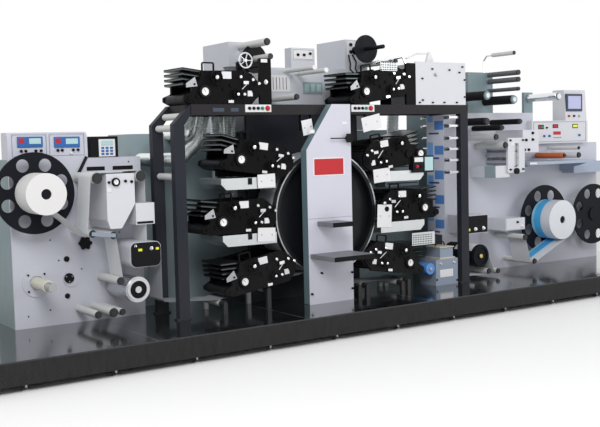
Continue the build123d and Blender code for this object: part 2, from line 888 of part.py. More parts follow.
with BuildPart() as transfer_gearbox:
    block(gearbox_left + gearbox_cover, gearbox_right - gearbox_cover, press_front + gearbox_cover,
          beam_back, beam_top, gearbox_top - gearbox_cover)
    block(gearbox_left, gearbox_right, press_front, press_front + gearbox_cover, beam_top, gearbox_top)
keep(transfer_gearbox, "transfer_gearbox")

with BuildPart() as drive_cabinets:
    block(drive_left, drive_right, drive_front, drive_back, deck_top, cabinet_top)
    doors(drive_left, drive_right, drive_back, deck_top, cabinet_top, 4)
keep(drive_cabinets, "drive_cabinets")

# Rewinder: a stepped side plate in front of a closed housing
rewind_outline = [(rewind_left, deck_top), (rewind_right, deck_top), (rewind_right, rewind_low_top),
                  (rewind_step, rewind_low_top), (rewind_step, rewind_high_top), (rewind_left, rewind_high_top)]
rewind_bearings = ((label_reel_at, reel_shaft), (waste_reel_at, reel_shaft), (outfeed_at, shaft_radius))
with BuildPart() as rewind_side_plate:
    slab(rewind_outline, cabinet_face, plate_back)
    bearing_bores(rewind_bearings)
keep(rewind_side_plate, "rewind_side_plate")

with BuildPart() as rewind_cabinet:
    slab(rewind_outline, plate_back, cabinet_back)
    bearing_pockets(rewind_bearings)
    doors(rewind_left, rewind_step, cabinet_back, deck_top, rewind_high_top, 2)
    doors(rewind_step, rewind_right, cabinet_back, deck_top, rewind_low_top, 2)
keep(rewind_cabinet, "rewind_cabinet")

with BuildPart() as label_reel:
    reel(label_reel_at, label_reel_radius, True)
keep(label_reel, "label_reel")

with BuildPart() as label_roll:
    wound_roll(label_reel_at, label_radius)
keep(label_roll, "label_roll")

with BuildPart() as waste_reel:
    reel(waste_reel_at, waste_reel_radius, False)
keep(waste_reel, "waste_reel")

with BuildPart() as outfeed_drum:
    pull_drum(outfeed_at, outfeed_radius)
keep(outfeed_drum, "outfeed_drum")

with BuildPart() as rewind_rollers:
    idlers(rewind_idlers)
keep(rewind_rollers, "rewind_rollers")

with BuildPart() as roller_tower:
    left, right, rise = tower_block
    block(left, right, cabinet_face, cabinet_face + tower_depth, rewind_high_top, rewind_high_top + rise)
    for left, right, rise in tower_plates:
        block(left, right, cabinet_face, cabinet_face + tower_plate_depth, rewind_high_top,
              rewind_high_top + rise)
    idlers(tower_idlers)
keep(roller_tower, "roller_tower")


def outline(left, right, bottom, top):
    return [(left, bottom), (right, bottom), (right, top), (left, top)]


with BuildPart() as die_cut_station:
    for left, right, bottom, top in (knob_case, drive_case):
        block(left, right, cheek_back, cabinet_face, bottom, top)
    slab(outline(*cheek_box), cheek_front, cheek_back, unit_corner)
    slab(outline(*cheek_slot), cheek_front, cheek_back, unit_corner, Mode.SUBTRACT)
    bars(cheek_ties, cheek_back, cabinet_face)
keep(die_cut_station, "die_cut_station")

with BuildPart() as die_cut_rolls:
    die_roll_x = (cheek_slot[0] + cheek_slot[1]) / 2
    bars([(die_roll_x, z, die_roll_radius) for z in die_roll_levels], cheek_back + seat_gap, cabinet_face)
keep(die_cut_rolls, "die_cut_rolls")

table_under = table_top - table_thickness
with BuildPart() as work_table:
    block(table_left, table_right, roller_front, cabinet_face, table_under, table_top)
    for left in (table_left + bracket_inset, table_right - bracket_inset - bracket_width):
        profile([(cabinet_face, table_under), (cabinet_face, table_under - bracket_drop),
                 (cabinet_face - bracket_width, table_under - bracket_drop),
                 (roller_front + bracket_inset, table_under)], left, left + bracket_width)
    block(table_right - shelf_overlap, rewind_right, shelf_front, cabinet_face, table_under - shelf_height,
          table_under)
keep(work_table, "work_table")

with BuildPart() as operator_console:
    console_back = console_front + console_depth
    screen_left, screen_right, screen_top = screen_case
    block(rewind_step, console_right, console_front, console_back, rewind_low_top, console_top)
    block(console_left, rewind_step, console_front, cabinet_face, console_under, console_top)
    profile([(console_front, console_top), (console_front + screen_lean, screen_top),
             (console_back, screen_top), (console_back, console_top)], screen_left, screen_right)
keep(operator_console, "operator_console")

with BuildPart() as outfeed_boxes:
    for left, right, bottom, top in outfeed_cases:
        block(left, right, web_centre, cabinet_face, bottom, top)
keep(outfeed_boxes, "outfeed_boxes")

with BuildPart() as corona_supply:
    left, right, top = corona_box
    block(left, right, press_front, press_front + corona_depth, deck_top, top)
    left, right, lid = corona_lid
    block(left, right, press_front + side_plate, press_front + corona_depth - side_plate, top, lid)
keep(corona_supply, "corona_supply")
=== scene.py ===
import math
import bpy
from mathutils import Euler, Matrix, Vector


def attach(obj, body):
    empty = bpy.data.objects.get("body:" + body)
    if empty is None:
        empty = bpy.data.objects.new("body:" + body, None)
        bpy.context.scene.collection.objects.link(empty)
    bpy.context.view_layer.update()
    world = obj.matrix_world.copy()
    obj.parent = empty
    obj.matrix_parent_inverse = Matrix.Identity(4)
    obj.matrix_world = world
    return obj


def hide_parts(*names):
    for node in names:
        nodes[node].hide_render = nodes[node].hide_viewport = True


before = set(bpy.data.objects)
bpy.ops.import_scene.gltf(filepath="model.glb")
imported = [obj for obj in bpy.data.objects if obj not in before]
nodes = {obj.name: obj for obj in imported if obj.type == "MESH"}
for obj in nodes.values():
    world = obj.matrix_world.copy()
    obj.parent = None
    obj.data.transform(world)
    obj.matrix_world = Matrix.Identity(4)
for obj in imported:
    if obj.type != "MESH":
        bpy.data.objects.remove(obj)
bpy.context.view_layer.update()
print("frame loaded:", len(nodes), "nodes")

pressBody = "press"


# Working helpers

def editMode():
    bpy.ops.object.mode_set(mode="EDIT")


def objectMode():
    bpy.ops.object.mode_set(mode="OBJECT")


def closeShell():
    # from edit mode: every face turned outwards, then back to object mode
    bpy.ops.mesh.select_all(action="SELECT")
    bpy.ops.mesh.normals_make_consistent(inside=False)
    objectMode()


def deselectAll():
    if bpy.context.object and bpy.context.object.mode != "OBJECT":
        objectMode()
    bpy.ops.object.select_all(action="DESELECT")


def pick(*pieces):
    deselectAll()
    for piece in pieces:
        piece.select_set(True)
    bpy.context.view_layer.objects.active = pieces[0]


def settle(piece, name):
    # the place, turn and size go into the mesh
    piece.name = name
    pick(piece)
    bpy.ops.object.transform_apply(location=True, rotation=True, scale=True)
    return piece


def runModifier(piece, kind, **values):
    modifier = piece.modifiers.new(kind.lower(), kind)
    for key, value in values.items():
        setattr(modifier, key, value)
    pick(piece)
    bpy.ops.object.modifier_apply(modifier=modifier.name)


def breakEdges(piece, width, segments=2):
    runModifier(piece, "BEVEL", width=width, segments=segments, limit_method="ANGLE",
                angle_limit=math.radians(40))


def selectFaces(piece, wanted):
    # leaves edit mode on, with the wanted faces selected
    pick(piece)
    editMode()
    bpy.ops.mesh.select_all(action="DESELECT")
    bpy.ops.mesh.select_mode(type="FACE")
    objectMode()
    for face in piece.data.polygons:
        face.select = wanted(face)
    editMode()


def joinAll(name, pieces):
    pick(*pieces)
    if len(pieces) > 1:
        bpy.ops.object.join()
    joined = bpy.context.view_layer.objects.active
    joined.name = name
    joined.data.name = name
    return joined


def copyAt(piece, name, move):
    # a copy with its own mesh, moved by a matrix
    double = piece.copy()
    double.data = piece.data.copy()
    double.data.transform(move)
    double.name = name
    bpy.context.collection.objects.link(double)
    return double


def discard(piece):
    bpy.data.objects.remove(piece, do_unlink=True)


def finish(piece, material, body=pressBody, smooth=30):
    pick(piece)
    if smooth:
        bpy.ops.object.shade_smooth_by_angle(angle=math.radians(smooth))
    piece.data.materials.clear()
    piece.data.materials.append(material)
    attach(piece, body)
    return piece


def blockAt(left, right, front, back, bottom, top, edge=0.0015):
    # a block between six faces, its edges broken
    deselectAll()
    bpy.ops.mesh.primitive_cube_add(size=1, location=((left + right) / 2, (front + back) / 2,
                                                      (bottom + top) / 2),
                                    scale=(right - left, back - front, top - bottom))
    piece = settle(bpy.context.object, "block")
    if edge:
        breakEdges(piece, edge, 1)
    return piece


def turnedAt(x, z, steps, sides=20):
    # a round part that faces the front, from (depth, radius) steps, back to front
    depth, radius = steps[0]
    deselectAll()
    bpy.ops.mesh.primitive_circle_add(vertices=sides, radius=radius, fill_type="NGON", location=(x, depth, z),
                                      rotation=(math.pi / 2, 0, 0))
    piece = bpy.context.object
    editMode()
    for nextDepth, nextRadius in steps[1:]:
        bpy.ops.mesh.extrude_region_move(TRANSFORM_OT_translate={"value": (0, nextDepth - depth, 0)})
        ratio = nextRadius / radius
        bpy.ops.transform.resize(value=(ratio, ratio, ratio), center_override=(x, nextDepth, z))
        depth, radius = nextDepth, nextRadius
    closeShell()
    return settle(piece, "turned")


def rodAlong(points, radius, sides=3):
    # a round bar through the points
    data = bpy.data.curves.new("rod", "CURVE")
    data.dimensions = "3D"
    data.bevel_depth = radius
    data.bevel_resolution = sides
    data.use_fill_caps = True
    spline = data.splines.new("POLY")
    spline.points.add(len(points) - 1)
    for place, point in zip(points, spline.points):
        point.co = (*place, 1)
    rod = bpy.data.objects.new("rod", data)
    bpy.context.collection.objects.link(rod)
    pick(rod)
    bpy.ops.object.convert(target="MESH")
    return settle(bpy.context.object, "rod")


def turnInPlane(piece, x, z, degrees):
    # turns a piece about an axis along Y, as seen from the front
    turn = Matrix.Rotation(-math.radians(degrees), 4, "Y")
    piece.data.transform(Matrix.Translation((x, 0, z)) @ turn @ Matrix.Translation((-x, 0, -z)))
    return piece


def spread(piece, places):
    # copies of one part at (x, y, z) offsets, the part itself taken away
    copies = [copyAt(piece, "copy", Matrix.Translation(place)) for place in places]
    discard(piece)
    return copies


def finishAll(name, pieces, material, body=pressBody, smooth=30):
    # one piece out of several, in a finish
    return finish(joinAll(name, pieces), finishes[material], body, smooth)


# Shader groups that several finishes share

def newGroup(name, inputs):
    # a group that gives a colour, a roughness and a height
    group = bpy.data.node_groups.new(name, "ShaderNodeTree")
    for title, value in inputs.items():
        kind = "Float" if isinstance(value, (int, float)) else "Color" if len(value) == 4 else "Vector"
        socket = group.interface.new_socket(name=title, in_out="INPUT", socket_type=f"NodeSocket{kind}")
        socket.default_value = value
    for title, kind in (("Colour", "Color"), ("Roughness", "Float"), ("Height", "Float")):
        group.interface.new_socket(name=title, in_out="OUTPUT", socket_type=f"NodeSocket{kind}")
    return group, group.nodes.new("NodeGroupInput").outputs


def closeGroup(group, **results):
    final = group.nodes.new("NodeGroupOutput")
    for title, source in results.items():
        group.links.new(source, final.inputs[title])
    return group


def feed(tree, socket, source):
    # links a socket to another, or sets its number, vector or colour
    if isinstance(source, bpy.types.NodeSocket):
        tree.links.new(source, socket)
    else:
        socket.default_value = (*source, 1) if socket.type == "RGBA" else source


def addNode(tree, kind, links=(), **values):
    # links: (input name or number, socket to take it from)
    node = tree.nodes.new(kind)
    for key, value in values.items():
        if key in node.bl_rna.properties:
            setattr(node, key, value)
        else:
            node.inputs[key.replace("_", " ").title()].default_value = value
    for target, source in links:
        tree.links.new(source, node.inputs[target])
    return node


def colourMix(tree, amount, first, second, blend="MIX"):
    mix = tree.nodes.new("ShaderNodeMix")
    mix.data_type = "RGBA"
    mix.blend_type = blend
    for number, source in zip((0, 6, 7), (amount, first, second)):
        feed(tree, mix.inputs[number], source)
    return mix.outputs[2]


def mapRange(tree, source, *limits):
    # limits: low and high, then what they become
    node = tree.nodes.new("ShaderNodeMapRange")
    titles = ("Value", "From Min", "From Max", "To Min", "To Max")
    for title, value in zip(titles, (source, *limits)):
        feed(tree, node.inputs[title], value)
    return node.outputs["Result"]


def mathNode(tree, operation, first, second):
    node = tree.nodes.new("ShaderNodeMath")
    node.operation = operation
    for socket, source in zip(node.inputs, (first, second)):
        feed(tree, socket, source)
    return node.outputs[0]


def noise(tree, vector, scale, detail=3, roughness=0.55):
    node = tree.nodes.new("ShaderNodeTexNoise")
    for title, source in (("Vector", vector), ("Scale", scale), ("Detail", detail), ("Roughness", roughness)):
        feed(tree, node.inputs[title], source)
    return node.outputs["Fac"]


def stretched(tree, vector, scale):
    node = tree.nodes.new("ShaderNodeMapping")
    feed(tree, node.inputs["Vector"], vector)
    feed(tree, node.inputs["Scale"], scale)
    return node.outputs["Vector"]


def makeCoatGroup():
    # powder coat: cloudy tone, fine peel, dust that gathers low down
    group, given = newGroup("powderCoat", {"Colour": (0.5, 0.5, 0.5, 1), "Cloud": 0.06, "Peel Scale": 420,
                                           "Roughness": 0.4, "Dust": 0.1})
    place = addNode(group, "ShaderNodeTexCoord").outputs["Object"]
    clouds = noise(group, place, 2.3, 4)
    scuffs = noise(group, stretched(group, place, (9, 9, 2)), 3.5, 5, 0.7)
    peel = noise(group, place, given["Peel Scale"], 2)
    tone = mapRange(group, clouds, 0.3, 0.7, mathNode(group, "SUBTRACT", 1, given["Cloud"]), 1)
    shade = addNode(group, "ShaderNodeCombineColor", [("Red", tone), ("Green", tone), ("Blue", tone)])
    toned = colourMix(group, 1, given["Colour"], shade.outputs[0], "MULTIPLY")
    height = addNode(group, "ShaderNodeSeparateXYZ", [("Vector", place)]).outputs["Z"]
    low = mapRange(group, height, 0.2, 0.9, 1, 0)
    dust = mathNode(group, "MULTIPLY", mathNode(group, "MULTIPLY", low, scuffs), given["Dust"])
    dusty = colourMix(group, dust, toned, (0.42, 0.41, 0.39))
    rough = mathNode(group, "ADD", given["Roughness"], mapRange(group, scuffs, 0.35, 0.7, -0.05, 0.09))
    return closeGroup(group, Colour=dusty, Roughness=rough, Height=peel)


def makeGrainGroup():
    # turned or brushed metal: fine lines along one way, faint stains
    group, given = newGroup("metalGrain", {"Colour": (0.6, 0.6, 0.6, 1), "Grain": (300, 4, 300),
                                           "Roughness": 0.25, "Stain": 0.15})
    place = addNode(group, "ShaderNodeTexCoord").outputs["Object"]
    lines = noise(group, stretched(group, place, given["Grain"]), 1, 3)
    stains = noise(group, place, 6, 5, 0.65)
    amount = mathNode(group, "MULTIPLY", mapRange(group, stains, 0.45, 0.75, 0, 1), given["Stain"])
    stained = colourMix(group, amount, given["Colour"], (0.22, 0.21, 0.2))
    rough = mathNode(group, "ADD", given["Roughness"], mapRange(group, lines, 0.3, 0.7, -0.05, 0.1))
    worn = mathNode(group, "ADD", rough, mathNode(group, "MULTIPLY", amount, 0.5))
    return closeGroup(group, Colour=stained, Roughness=worn, Height=lines)


coatGroup = makeCoatGroup()
grainGroup = makeGrainGroup()


# Materials

finishes = {}


def startMaterial(name):
    # each material is kept by its name
    material = bpy.data.materials.new(name)
    material.use_nodes = True
    finishes[name] = material
    return material, material.node_tree, material.node_tree.nodes["Principled BSDF"]


def linkGroup(tree, shader, group, bump, distance):
    for title, socket in (("Colour", "Base Color"), ("Roughness", "Roughness")):
        tree.links.new(group.outputs[title], shader.inputs[socket])
    relief = addNode(tree, "ShaderNodeBump", [("Height", group.outputs["Height"])])
    relief.inputs["Strength"].default_value = bump
    relief.inputs["Distance"].default_value = distance
    tree.links.new(relief.outputs["Normal"], shader.inputs["Normal"])


def groupNode(tree, group, values):
    node = tree.nodes.new("ShaderNodeGroup")
    node.node_tree = group
    for title, value in values.items():
        node.inputs[title].default_value = value
    return node


def paint(name, colour, roughness=0.38, cloud=0.05, dust=0.08, peel=420, bump=0.12, coat=0.0, sideColour=None,
          specular=0.35):
    material, tree, shader = startMaterial(name)
    coatNode = groupNode(tree, coatGroup, {"Colour": (*colour, 1), "Cloud": cloud, "Peel Scale": peel,
                                           "Roughness": roughness, "Dust": dust})
    if sideColour:                       # faces not turned to the front take the second colour; on the column this is partly the teal of its covers and partly painted shade on those faces
        normal = tree.nodes.new("ShaderNodeNewGeometry").outputs["True Normal"]
        facing = addNode(tree, "ShaderNodeSeparateXYZ", [("Vector", normal)]).outputs["Y"]
        front = mapRange(tree, facing, -0.9, -0.8, 1, 0)
        tree.links.new(colourMix(tree, front, sideColour, colour), coatNode.inputs["Colour"])
    linkGroup(tree, shader, coatNode, bump, 0.0006)
    for title, value in (("Specular IOR Level", specular), ("Coat Weight", coat), ("Coat Roughness", 0.12)):
        shader.inputs[title].default_value = value
    return material


def metal(name, colour, roughness=0.25, grain=(300, 4, 300), stain=0.12, bump=0.15):
    material, tree, shader = startMaterial(name)
    grainNode = groupNode(tree, grainGroup, {"Colour": (*colour, 1), "Grain": grain, "Roughness": roughness,
                                             "Stain": stain})
    linkGroup(tree, shader, grainNode, bump, 0.0003)
    shader.inputs["Metallic"].default_value = 1
    return material


def soft(name, colour, roughness=0.6, cloud=0.06, peel=700, bump=0.2, specular=0.4):
    return paint(name, colour, roughness, cloud, 0.05, peel, bump, specular=specular)


def placeParts(tree):
    # X, Y and Z of the place on the piece
    place = addNode(tree, "ShaderNodeTexCoord").outputs["Object"]
    return addNode(tree, "ShaderNodeSeparateXYZ", [("Vector", place)]).outputs


def recolour(tree, colour):
    # gives the material's shared group another colour
    shared = next(node for node in tree.nodes if node.type == "GROUP")
    tree.links.new(colour, shared.inputs["Colour"])


def band(tree, source, low, high, blend):
    # 1 between two values and 0 outside them
    return mathNode(tree, "MULTIPLY", mapRange(tree, source, low, low + blend, 0, 1),
                    mapRange(tree, source, high, high + blend, 1, 0))


def cappedRoller(name, colour, capColour, edge=-0.2885, roughness=0.45):
    # a pale sleeve whose end cap, in front of one depth, is another colour
    material = soft(name, colour, roughness, 0.05, 900, 0.12)
    tree = material.node_tree
    cap = mapRange(tree, placeParts(tree)["Y"], edge - 0.0005, edge + 0.0005, 1, 0)
    recolour(tree, colourMix(tree, cap, colour, capColour))
    return material


def ringedDrum(name, values):
    # dark painted faces inside a bright ground rim
    material = metal(name, values["steel"], 0.34, (4, 4, 4), 0.0)
    tree, shader = material.node_tree, material.node_tree.nodes["Principled BSDF"]
    parts = placeParts(tree)
    across = mathNode(tree, "SUBTRACT", parts["X"], values["axis"][0])
    upward = mathNode(tree, "SUBTRACT", parts["Z"], values["axis"][1])
    reach = mathNode(tree, "SQRT", mathNode(tree, "ADD", mathNode(tree, "MULTIPLY", across, across),
                                            mathNode(tree, "MULTIPLY", upward, upward)), 0)
    inside = mapRange(tree, reach, values["rim"], values["rim"] + 0.001, 1, 0)
    recolour(tree, colourMix(tree, inside, values["steel"], values["paint"]))
    tree.links.new(mapRange(tree, inside, 0, 1, 1, 0), shader.inputs["Metallic"])
    shader.inputs["Specular IOR Level"].default_value = 0.2
    return material


def stockPrint(name, ground, inks):
    # plain printed stock: soft-edged blocks of colour that repeat along the web
    material = soft(name, ground, 0.45, 0.03, 900, 0.05)
    tree = material.node_tree
    parts = placeParts(tree)
    colour = ground
    for ink, (low, high), (start, end), repeat in inks:
        across = band(tree, parts["Y"], low, high, 0.002)
        if repeat:
            along = mathNode(tree, "FRACT", mathNode(tree, "DIVIDE", parts["Z"], repeat), 0)
            across = mathNode(tree, "MULTIPLY", across, band(tree, along, start, end, 0.01))
        colour = colourMix(tree, across, colour, ink)
    recolour(tree, colour)
    return material


drumValues = {"axis": (-0.6, 0.95), "rim": 0.508, "steel": (0.42, 0.43, 0.45), "paint": (0.006, 0.007, 0.009)}
filmInks = [((0.1, 0.26, 0.66), (-0.262, -0.14), (0.1, 0.46), 0.23),
            ((0.2, 0.42, 0.78), (-0.12, -0.04), (0.5, 0.9), 0.31),
            ((0.02, 0.05, 0.3), (-0.2, -0.06), (0.92, 0.99), 0.23)]
labelInks = [((0.07, 0.42, 0.8), (-0.15, -0.06), (0, 1), 0), ((0.3, 0.62, 0.85), (-0.06, -0.02), (0, 1), 0)]

paint("lilacPanel", (0.52, 0.53, 0.6), 0.42, 0.04, 0.1)
paint("tealCover", (0.2, 0.27, 0.29), 0.45, 0.08, 0.1)
paint("tealDoor", (0.3, 0.38, 0.41), 0.45, 0.08, 0.1)
# column: pale front, its other faces a teal cover colour darkened with painted shade
paint("columnPaint", (0.56, 0.56, 0.64), 0.4, 0.04, 0.06, sideColour=(0.13, 0.2, 0.22))
paint("paleHousing", (0.54, 0.56, 0.61), 0.42, 0.05, 0.0)
paint("whitePaint", (0.6, 0.61, 0.65), 0.4, 0.03, 0.0)
paint("slateFrame", (0.02, 0.022, 0.03), 0.42, 0.1, 0.08, specular=0.12)
paint("beamPaint", (0.022, 0.02, 0.022), 0.4, 0.12, 0.0, specular=0.12)
soft("unitBlack", (0.005, 0.0045, 0.005), 0.4, 0.3, 300, 0.25, 0.07)
paint("skirtPaint", (0.009, 0.009, 0.011), 0.34, 0.3, 0.06, 300, 0.2, specular=0.14)
paint("blackSteel", (0.02, 0.02, 0.023), 0.5, 0.2, 0.2)
paint("deckGloss", (0.008, 0.01, 0.012), 0.09, 0.3, 0.02, 60, 0.02, coat=0.6)
paint("reelBlack", (0.008, 0.009, 0.013), 0.45, 0.2, 0.0, specular=0.1)
paint("boxBlack", (0.007, 0.007, 0.009), 0.4, 0.2, 0.0, specular=0.12)
cappedRoller("rollerSleeve", (0.6, 0.61, 0.6), (0.014, 0.014, 0.016))
cappedRoller("darkRoller", (0.1, 0.105, 0.115), (0.02, 0.02, 0.022))
cappedRoller("spindleSleeve", (0.62, 0.61, 0.5), (0.36, 0.37, 0.38), -0.151)
soft("capRubber", (0.008, 0.008, 0.009), 0.6, specular=0.12)
soft("inkRubber", (0.01, 0.01, 0.013), 0.42, specular=0.14)
metal("steelRoller", (0.6, 0.61, 0.63), 0.22)
ringedDrum("drumSteel", drumValues)
paint("treadPaint", (0.006, 0.006, 0.007), 0.42, 0.1, 0.0, sideColour=(0.2, 0.21, 0.23), specular=0.1)
paint("tableBlue", (0.34, 0.4, 0.5), 0.42, 0.05, 0.0)
paint("paleScreen", (0.42, 0.6, 0.62), 0.25, 0.03, 0.0, 900, 0.03)
paint("lavenderScreen", (0.46, 0.48, 0.7), 0.22, 0.03, 0.0, 900, 0.03)
paint("slateBezel", (0.04, 0.055, 0.085), 0.4, 0.05, 0.0)
metal("brass", (0.62, 0.46, 0.2), 0.3, (60, 60, 60), 0.05)
metal("stainless", (0.58, 0.6, 0.61), 0.38, (6, 6, 300))
metal("zincSteel", (0.42, 0.43, 0.45), 0.45, (90, 90, 90))
soft("paperRoll", (0.68, 0.67, 0.67), 0.75, 0.02, 900, 0.1)
metal("finSteel", (0.085, 0.1, 0.105), 0.28, (5, 200, 200), 0.1)
soft("webPaper", (0.66, 0.68, 0.7), 0.6, 0.02, 900, 0.05)
soft("drumWeb", (0.36, 0.38, 0.41), 0.35, 0.05, 900, 0.05)
stockPrint("filmPrint", (0.64, 0.66, 0.76), filmInks)
stockPrint("labelStock", (0.66, 0.7, 0.75), labelInks)
stockPrint("labelRoll", (0.66, 0.68, 0.72), labelInks)
metal("chrome", (0.8, 0.81, 0.83), 0.12, (60, 60, 60), 0.04)
metal("ductFoil", (0.8, 0.84, 0.84), 0.32, (20, 20, 20), 0.2)
paint("plateWhite", (0.7, 0.7, 0.72), 0.35, 0.02, 0.0, 900, 0.05)
paint("dialFace", (0.88, 0.88, 0.86), 0.25, 0.02, 0.0, 900, 0.03, coat=0.5)
paint("redPaint", (0.46, 0.014, 0.02), 0.38, 0.05, 0.0, 700, 0.08)
paint("greenButton", (0.01, 0.22, 0.13), 0.3, 0.05, 0.0, 700, 0.05)
paint("blueKeys", (0.025, 0.12, 0.36), 0.35, 0.06, 0.0, 800, 0.08)
paint("yellowLabel", (0.8, 0.82, 0.05), 0.45, 0.03, 0.0, 900, 0.05)
paint("beigePaint", (0.52, 0.48, 0.38), 0.45, 0.05, 0.05)
paint("greyPaint", (0.24, 0.29, 0.37), 0.42, 0.06, 0.08)
soft("blueFilm", (0.09, 0.26, 0.64), 0.3, 0.04, 900, 0.05)
soft("orangeRubber", (0.5, 0.115, 0.035), 0.5)

nodeNames = {                            # the frame's nodes by finish
    "deckGloss": "deck_plate",
    "skirtPaint": "front_skirt rear_skirt",
    "blackSteel": "cross_members",
    "zincSteel": "front_feet rear_feet",
    "lilacPanel": "unwind_side_plate tension_controls rewind_side_plate",
    "tealCover": "unwind_cabinet rewind_cabinet roller_tower",
    "reelBlack": "unwind_reel foil_reel label_reel waste_reel outfeed_drum",
    "paperRoll": "paper_roll",
    "spindleSleeve": "waste_spindle",
    "steelRoller": "infeed_drum film_rollers die_cut_rolls",
    "rollerSleeve": "unwind_rollers left_ties left_deck_rollers right_deck_rollers rewind_rollers "
                    "upper_rollers",
    "whitePaint": "infeed_boxes transfer_gearbox die_cut_station operator_console outfeed_boxes",
    "slateFrame": "left_posts right_posts bearing_wall",
    "beamPaint": "gantry_beams",
    "columnPaint": "centre_column",
    "treadPaint": "column_treads",
    "capRubber": "lock_wheel",
    "drumSteel": "impression_drum",
    "inkRubber": "left_unit_rolls right_unit_rolls",
    "stainless": "left_dryers right_dryers",
    "paleHousing": "upper_housing upper_boxes",
    "tealDoor": "drive_cabinets",
    "labelRoll": "label_roll",
    "tableBlue": "work_table",
    "greyPaint": "corona_supply",
    "ductFoil": "exhaust_ducts",
}
nodeFinishes = {name: finishName for finishName, names in nodeNames.items() for name in names.split()}
for name, piece in nodes.items():
    chosen = "unitBlack" if name.endswith("_unit") else nodeFinishes[name]
    for slotNumber in range(max(1, len(piece.material_slots))):
        if not piece.material_slots:
            piece.data.materials.append(None)
        piece.material_slots[slotNumber].material = finishes[chosen]
print("finishes given to the frame's nodes")


# Printing units: dials, plates, screws and bright fittings on the near cheeks

unitValues = {
    "drumAt": (-0.6, 0.95), "rollCircle": 0.6, "bearings": (45, 0, -45), "tilts": (8, 0, -8),
    "topLeftAt": (-1.325, 1.965), "topRightAt": (0.234, 2.042), "topTilt": -8, "face": -0.37,
    "dialAt": (0.44, -0.01), "farDialAt": (0.575, -0.03), "dialRadius": 0.05, "tickCount": 10,
    "namePlate": (0.085, 0.056), "squarePlate": 0.044, "finStart": (0.43, 0.03), "finPitch": 0.038,
    "finLength": 0.18, "finSlope": 7.0, "finCount": 4,
    "screwPlaces": ((-0.03, 0.075), (0.02, 0.125), (0.12, 0.148), (0.25, 0.148), (0.42, 0.142),
                    (0.525, 0.045), (0.53, -0.088), (0.4, -0.092), (0.27, -0.094), (0.09, -0.094),
                    (0.01, -0.08)),
    "screwSteps": ((0, 0.0085), (-0.007, 0.0085), (-0.007, 0.005), (-0.003, 0.0045)),
    "knobSteps": ((0, 0.007), (-0.02, 0.007), (-0.022, 0.013), (-0.036, 0.013), (-0.04, 0.009)),
    "wheelHubs": ((-0.411, 0.015), (-0.401, 0.012)), "leverRadius": 0.004, "edge": 0.002,
    "knobPlaces": ((0.02, 0.085), (-0.035, 0.055), (0.13, 0.105), (0.1, -0.03)),
    "lugPlaces": ((0.075, 0.062), (0.215, -0.086)), "lugSize": (0.048, 0.02, 0.026),
    "leverPlace": (0.1, 0.02), "leverEnds": ((-0.01, -0.012), (0.05, -0.018)), "plateThick": 0.0105,
    "finDepth": (-0.344, -0.026), "finTop": 0.011, "shieldDepth": (-0.003, 0.001),
    "hubPlaces": ((0.35, 0.098), (0.16, -0.03)), "squareAt": (0.035, -0.022),
    "nameAt": {1: (0.183, 0.122), -1: (0.245, 0.118)},
    "shield": ((0.5, 0.03), (0.596, 0.02), (0.596, 0.052), (0.52, 0.1)),
}
dialShape = {"ring": ((0, 1), (-0.018, 1), (-0.022, 0.93), (-0.022, 0.68), (-0.017, 0.64)),
             "face": ((-0.0165, 0.61), (-0.0185, 0.59)), "mark": (0.0012, 0.42, 0.53),
             "hand": (0.0014, -0.1, 0.42), "sweep": 240}


def unitStations(values):
    # each unit's plate roll, its tilt, which way it points and its level
    stations = []
    for bearing, tilt in zip(values["bearings"], values["tilts"]):
        for hand in (-1, 1):
            x = values["drumAt"][0] + hand * values["rollCircle"] * math.cos(math.radians(bearing))
            z = values["drumAt"][1] + values["rollCircle"] * math.sin(math.radians(bearing))
            stations.append((x, z, tilt, hand, bearing))
    stations.append((*values["topLeftAt"], 0, -1, "topLeft"))
    stations.append((*values["topRightAt"], values["topTilt"], -1, "topRight"))
    return stations


def unitPlace(station, u, v):
    x, z, tilt, hand, level = station
    turn = math.radians(tilt)
    return (x + hand * (u * math.cos(turn) - v * math.sin(turn)), z + u * math.sin(turn) + v * math.cos(turn))


def onUnit(piece, station, u, v, turn=0):
    # a copy of a part modelled at the origin, set at (u, v) and turned with the unit
    x, z = unitPlace(station, u, v)
    lean = Matrix.Rotation(-math.radians(station[3] * (station[2] + turn)), 4, "Y")
    return copyAt(piece, "fitting", Matrix.Translation((x, 0, z)) @ lean)


def plateAt(points, front, back):
    # a thin plate whose outline is given by (x, z) points
    deselectAll()
    bpy.ops.mesh.primitive_circle_add(vertices=len(points), radius=1, fill_type="NGON",
                                      rotation=(math.pi / 2, 0, 0))
    plate = settle(bpy.context.object, "plate")
    for vertex, (x, z) in zip(plate.data.vertices, points):
        vertex.co = (x, back, z)
    pick(plate)
    editMode()
    bpy.ops.mesh.extrude_region_move(TRANSFORM_OT_translate={"value": (0, front - back, 0)})
    closeShell()
    return plate


def makeDial(x, z, face, radius, ticks, needle=35):
    # a black ring round a white face with plain marks and a needle
    ring, white = (turnedAt(x, z, [(face + depth, radius * share) for depth, share in dialShape[part]], sides)
                   for part, sides in (("ring", 28), ("face", 24)))
    sweep = dialShape["sweep"]
    turns = [("mark", 0.0195, sweep / 2 - sweep * i / (ticks - 1)) for i in range(ticks)]
    marks = []
    for part, front, turn in turns + [("hand", 0.0205, needle)]:
        half, low, high = dialShape[part]
        mark = blockAt(x - half, x + half, face - front, face - 0.018, z + radius * low, z + radius * high, 0)
        marks.append(turnInPlane(mark, x, z, turn))
    return ring, white, marks


